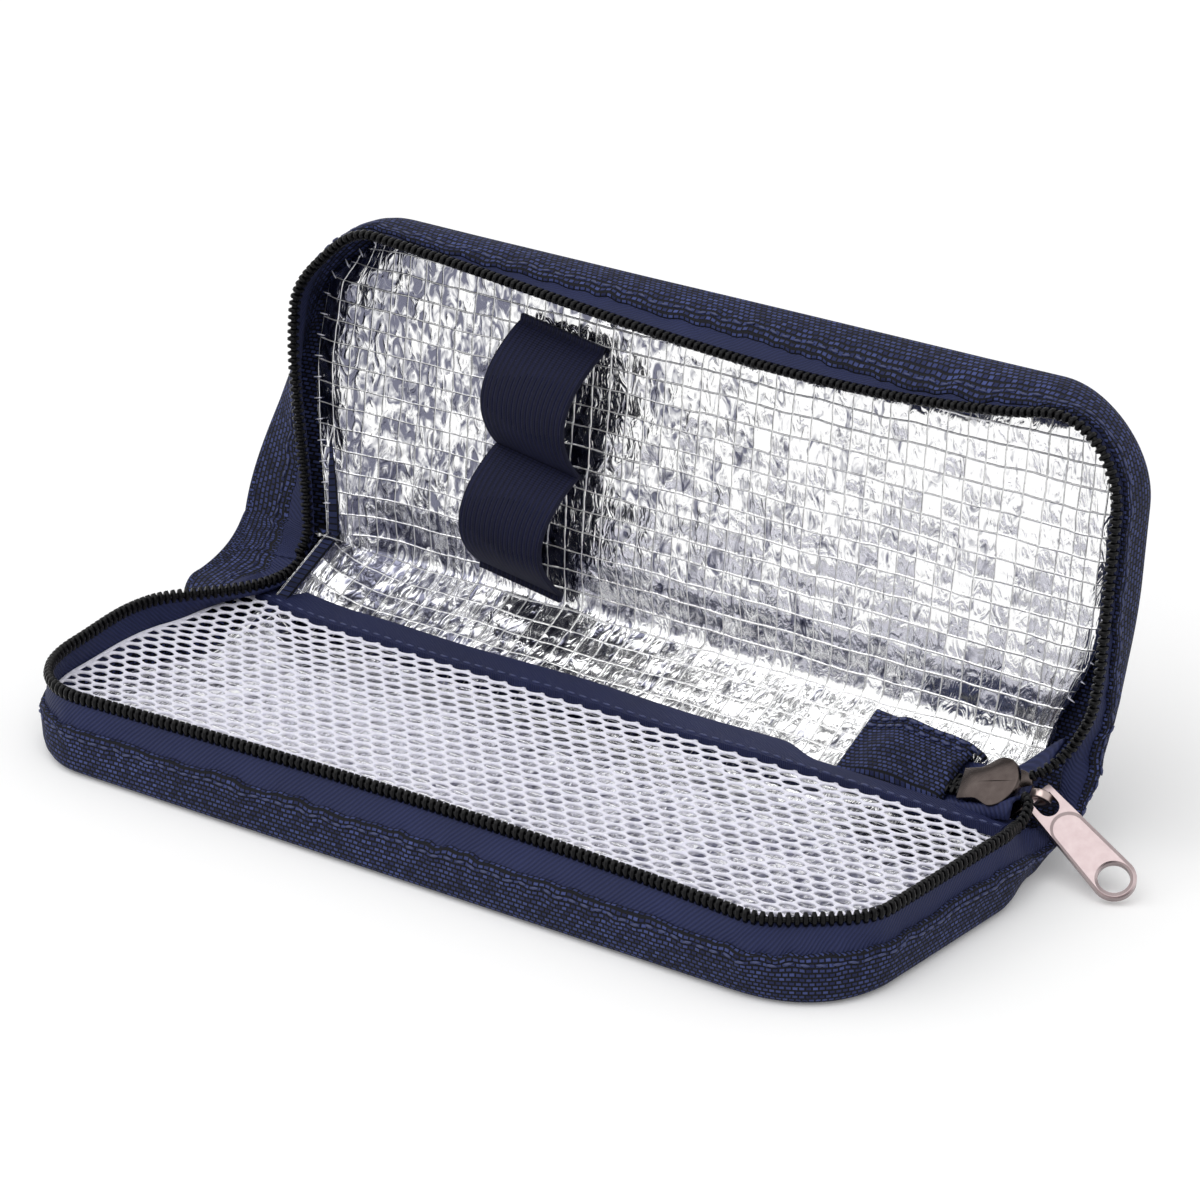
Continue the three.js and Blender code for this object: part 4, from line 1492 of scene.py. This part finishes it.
pull_pivot = slider_spot @ slider_turned @ Vector((pivot_forward, 0, -pivot_below))
pull_turned = Matrix.Rotation(-pull_skew, 4, "Z") @ Matrix.Rotation(pull_drop, 4, "Y")
pull_place = spine_place @ Matrix.Translation(pull_pivot) @ pull_turned


pull_start = -eye_bar / 2
pull_far = pull_reach - pull_far_width / 2
shoulder_share = (field_start - pull_start) / (pull_far - pull_start)
shoulder = mix(pull_near_width, pull_far_width, shoulder_share) / 2
eye_near = eye_bar / 2
eye_far = eye_near + eye_length
top = pull_thickness / 2
pull_bm = bmesh.new()


def turned_from(x, y, centre, angle, steps):
    """A new corner of the tab's outline and the arc that runs on from it."""
    corner = pull_bm.verts.new((x, y, top))
    return [corner] + arc(pull_bm, corner, (centre, 0, top), angle, steps)


def field_arc():
    """The near end of the field, a quarter circle from the tab's edge to its middle."""
    return turned_from(field_start, shoulder, field_start, math.pi / 2, hole_steps // 2)


near_arc = field_arc()
eye_arc = turned_from(eye_far, 0, eye_far - eye_width / 2, math.pi / 2, hole_steps // 2)
near_verts, _ = chain(pull_bm, [
    (eye_near, eye_width / 2, top), (eye_near, 0, top), (pull_start, 0, top),
    (pull_start, pull_near_width / 2, top)])
pull_bm.faces.new(near_arc + eye_arc + near_verts)
far_arc = field_arc()
tip = turned_from(pull_far, pull_far_width / 2, pull_far, -math.pi / 2, hole_steps // 2)
hole = turned_from(pull_far + hole_radius, 0, pull_far, math.pi, hole_steps)
field = pull_bm.faces.new(far_arc[::-1] + tip + hole)
field.material_index = 1
mirrored(pull_bm)
bmesh.ops.solidify(pull_bm, geom=pull_bm.faces, thickness=pull_thickness)
bmesh.ops.recalc_face_normals(pull_bm, faces=pull_bm.faces)
fields = [face for face in pull_bm.faces if face.material_index and abs(face.normal.z) > wall_slope_share]
bmesh.ops.inset_region(pull_bm, faces=fields, thickness=pull_rim, depth=-pull_recess, use_even_offset=True)
for face in pull_bm.faces:
    face.material_index = 0
bmesh.ops.transform(pull_bm, matrix=pull_place, verts=pull_bm.verts)
zip_pull = softened(finish_piece("zip_pull", pull_bm, [nickel], metal_crease))
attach(zip_pull, "pull")
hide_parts("pull_tab")

# Sewing threads
# Navy polyester thread: one row holds each gusset's turned edge to the tape, two rows hold the patch and one
# holds the binding. Each stitch is a short twisted bead.

stitch_pitch = 3
stitch_length = 2.4
stitch_radius = 0.32
gusset_row = 8.2
row_proud = 0.1
patch_rows = (0.9, 2.6)
patch_row_proud = 0.35
patch_row_radius = 1.3
binding_row = 2.8

# Twisted thread: round, a little brighter than the cloth it holds.
thread, _, _ = surface("twisted navy thread", Base_Color=linear("2c345c"), Roughness=0.5)


def stitch_bead(radius):
    return bead(radius, (1, stitch_length / radius / 2, 1))


stitch = stitch_bead(stitch_radius)


def gusset_stitches(name, half):
    line = []
    for x, y in stations(-half.strip, -half.strip):
        point = Vector((x, y, gusset_row)) + outward(x, y) * row_proud
        line.append(settled(half, point))
    return repeated(name, stitch, stitch_pitch, [line], away_from(half.middle), thread)


lower_stitches = gusset_stitches("lower_seam_stitches", lower)
cover_stitches = gusset_stitches("cover_seam_stitches", cover)
follow_folds(lower_stitches, cover_stitches)

patch_lines = [[patch_point(x, patch_width - patch_edge - row, patch_row_proud)
                for x in spaced(0, patch_length, round(patch_length / patch_step))] for row in patch_rows]
patch_stitches = repeated("patch_stitches", stitch_bead(stitch_radius * patch_row_radius), stitch_pitch,
                          patch_lines, across_spine, thread)
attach(patch_stitches, "spine")

binding_seam = [lower_place @ binding_line(x, binding_row, binding_high)
                for x in spaced(-binding_right, binding_left, round(binding_length / binding_step))]
binding_stitches = repeated("binding_stitches", stitch, stitch_pitch, [binding_seam],
                            always(Vector((0, 1, 0))), thread)
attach(binding_stitches, "base")

# Camera, floor and light
# A pale studio table and soft light from above and both sides.

camera_height = math.radians(22.1)
camera_side = math.radians(37.43)
camera_distance = 0.88664
camera_target = Vector((0.0135, 0.0125, 0.04675))
sensor_width = 36
focal_length = 138.59
camera_shift = (0.00095, -0.00687)
camera_reach = 10

back = Vector((math.sin(camera_side) * math.cos(camera_height),
               -math.cos(camera_side) * math.cos(camera_height), math.sin(camera_height)))
camera_data = bpy.data.cameras.new("camera")
camera_data.sensor_width = sensor_width
camera_data.lens = focal_length
camera_data.shift_x, camera_data.shift_y = camera_shift
camera_data.clip_end = camera_reach
camera = bpy.data.objects.new("camera", camera_data)
bpy.context.scene.collection.objects.link(camera)
camera.location = camera_target + back * camera_distance
camera.rotation_euler = back.to_track_quat("Z", "Y").to_euler()
bpy.context.scene.camera = camera

# The floor's own colour is near white; to the camera, and in reflections, it is lifted the rest of the way.
floor_lift = 0.12
world_strength = 0.62
floor_size = 4000
floor_gap = 0.05

white_paper, paper_tree, paper_shader = surface("white table", Base_Color=linear("f2f2f2"), Roughness=1)


def seen_directly(tree):
    """1 for rays from the camera and for reflections."""
    rays = add_node(tree, "LightPath", {})
    shiny = number_math(tree, "MAXIMUM", rays.outputs["Is Glossy Ray"], rays.outputs["Is Transmission Ray"])
    return number_math(tree, "MAXIMUM", rays.outputs["Is Camera Ray"], shiny)


paper_shader.inputs["Emission Color"].default_value = linear("ffffff")
lift = number_math(paper_tree, "MULTIPLY", seen_directly(paper_tree), floor_lift)
paper_tree.links.new(lift, paper_shader.inputs["Emission Strength"])
floor_bm = bmesh.new()
bmesh.ops.create_grid(floor_bm, x_segments=1, y_segments=1, size=floor_size)
bmesh.ops.translate(floor_bm, verts=floor_bm.verts, vec=(0, 0, -floor_gap))
floor = finish_piece("floor", floor_bm, [white_paper])

# Two soft boxes far away: the direction each stands in, how wide it looks and its strength.
top_box = ("top light", (0.2, -0.5, 1), math.radians(60), 1.2)
side_box = ("side light", (-0.9, -0.5, 0.8), math.radians(50), 0.5)

world = bpy.data.worlds.new("studio")
bpy.context.scene.world = world
world.use_nodes = True
sky = world.node_tree.nodes["Background"]
sky.inputs["Color"].default_value = linear("ffffff")
sky_light = add_node(world.node_tree, "MapRange", {"Value": seen_directly(world.node_tree),
                                                   "To Min": world_strength})
world.node_tree.links.new(sky_light.outputs["Result"], sky.inputs["Strength"])
for name, direction, angle, power in (top_box, side_box):
    lamp = bpy.data.lights.new(name, "SUN")
    lamp.energy = power
    lamp.angle = angle
    holder = bpy.data.objects.new(name, lamp)
    bpy.context.scene.collection.objects.link(holder)
    holder.rotation_euler = Vector(direction).to_track_quat("Z", "Y").to_euler()
bpy.context.scene.view_settings.view_transform = "Standard"
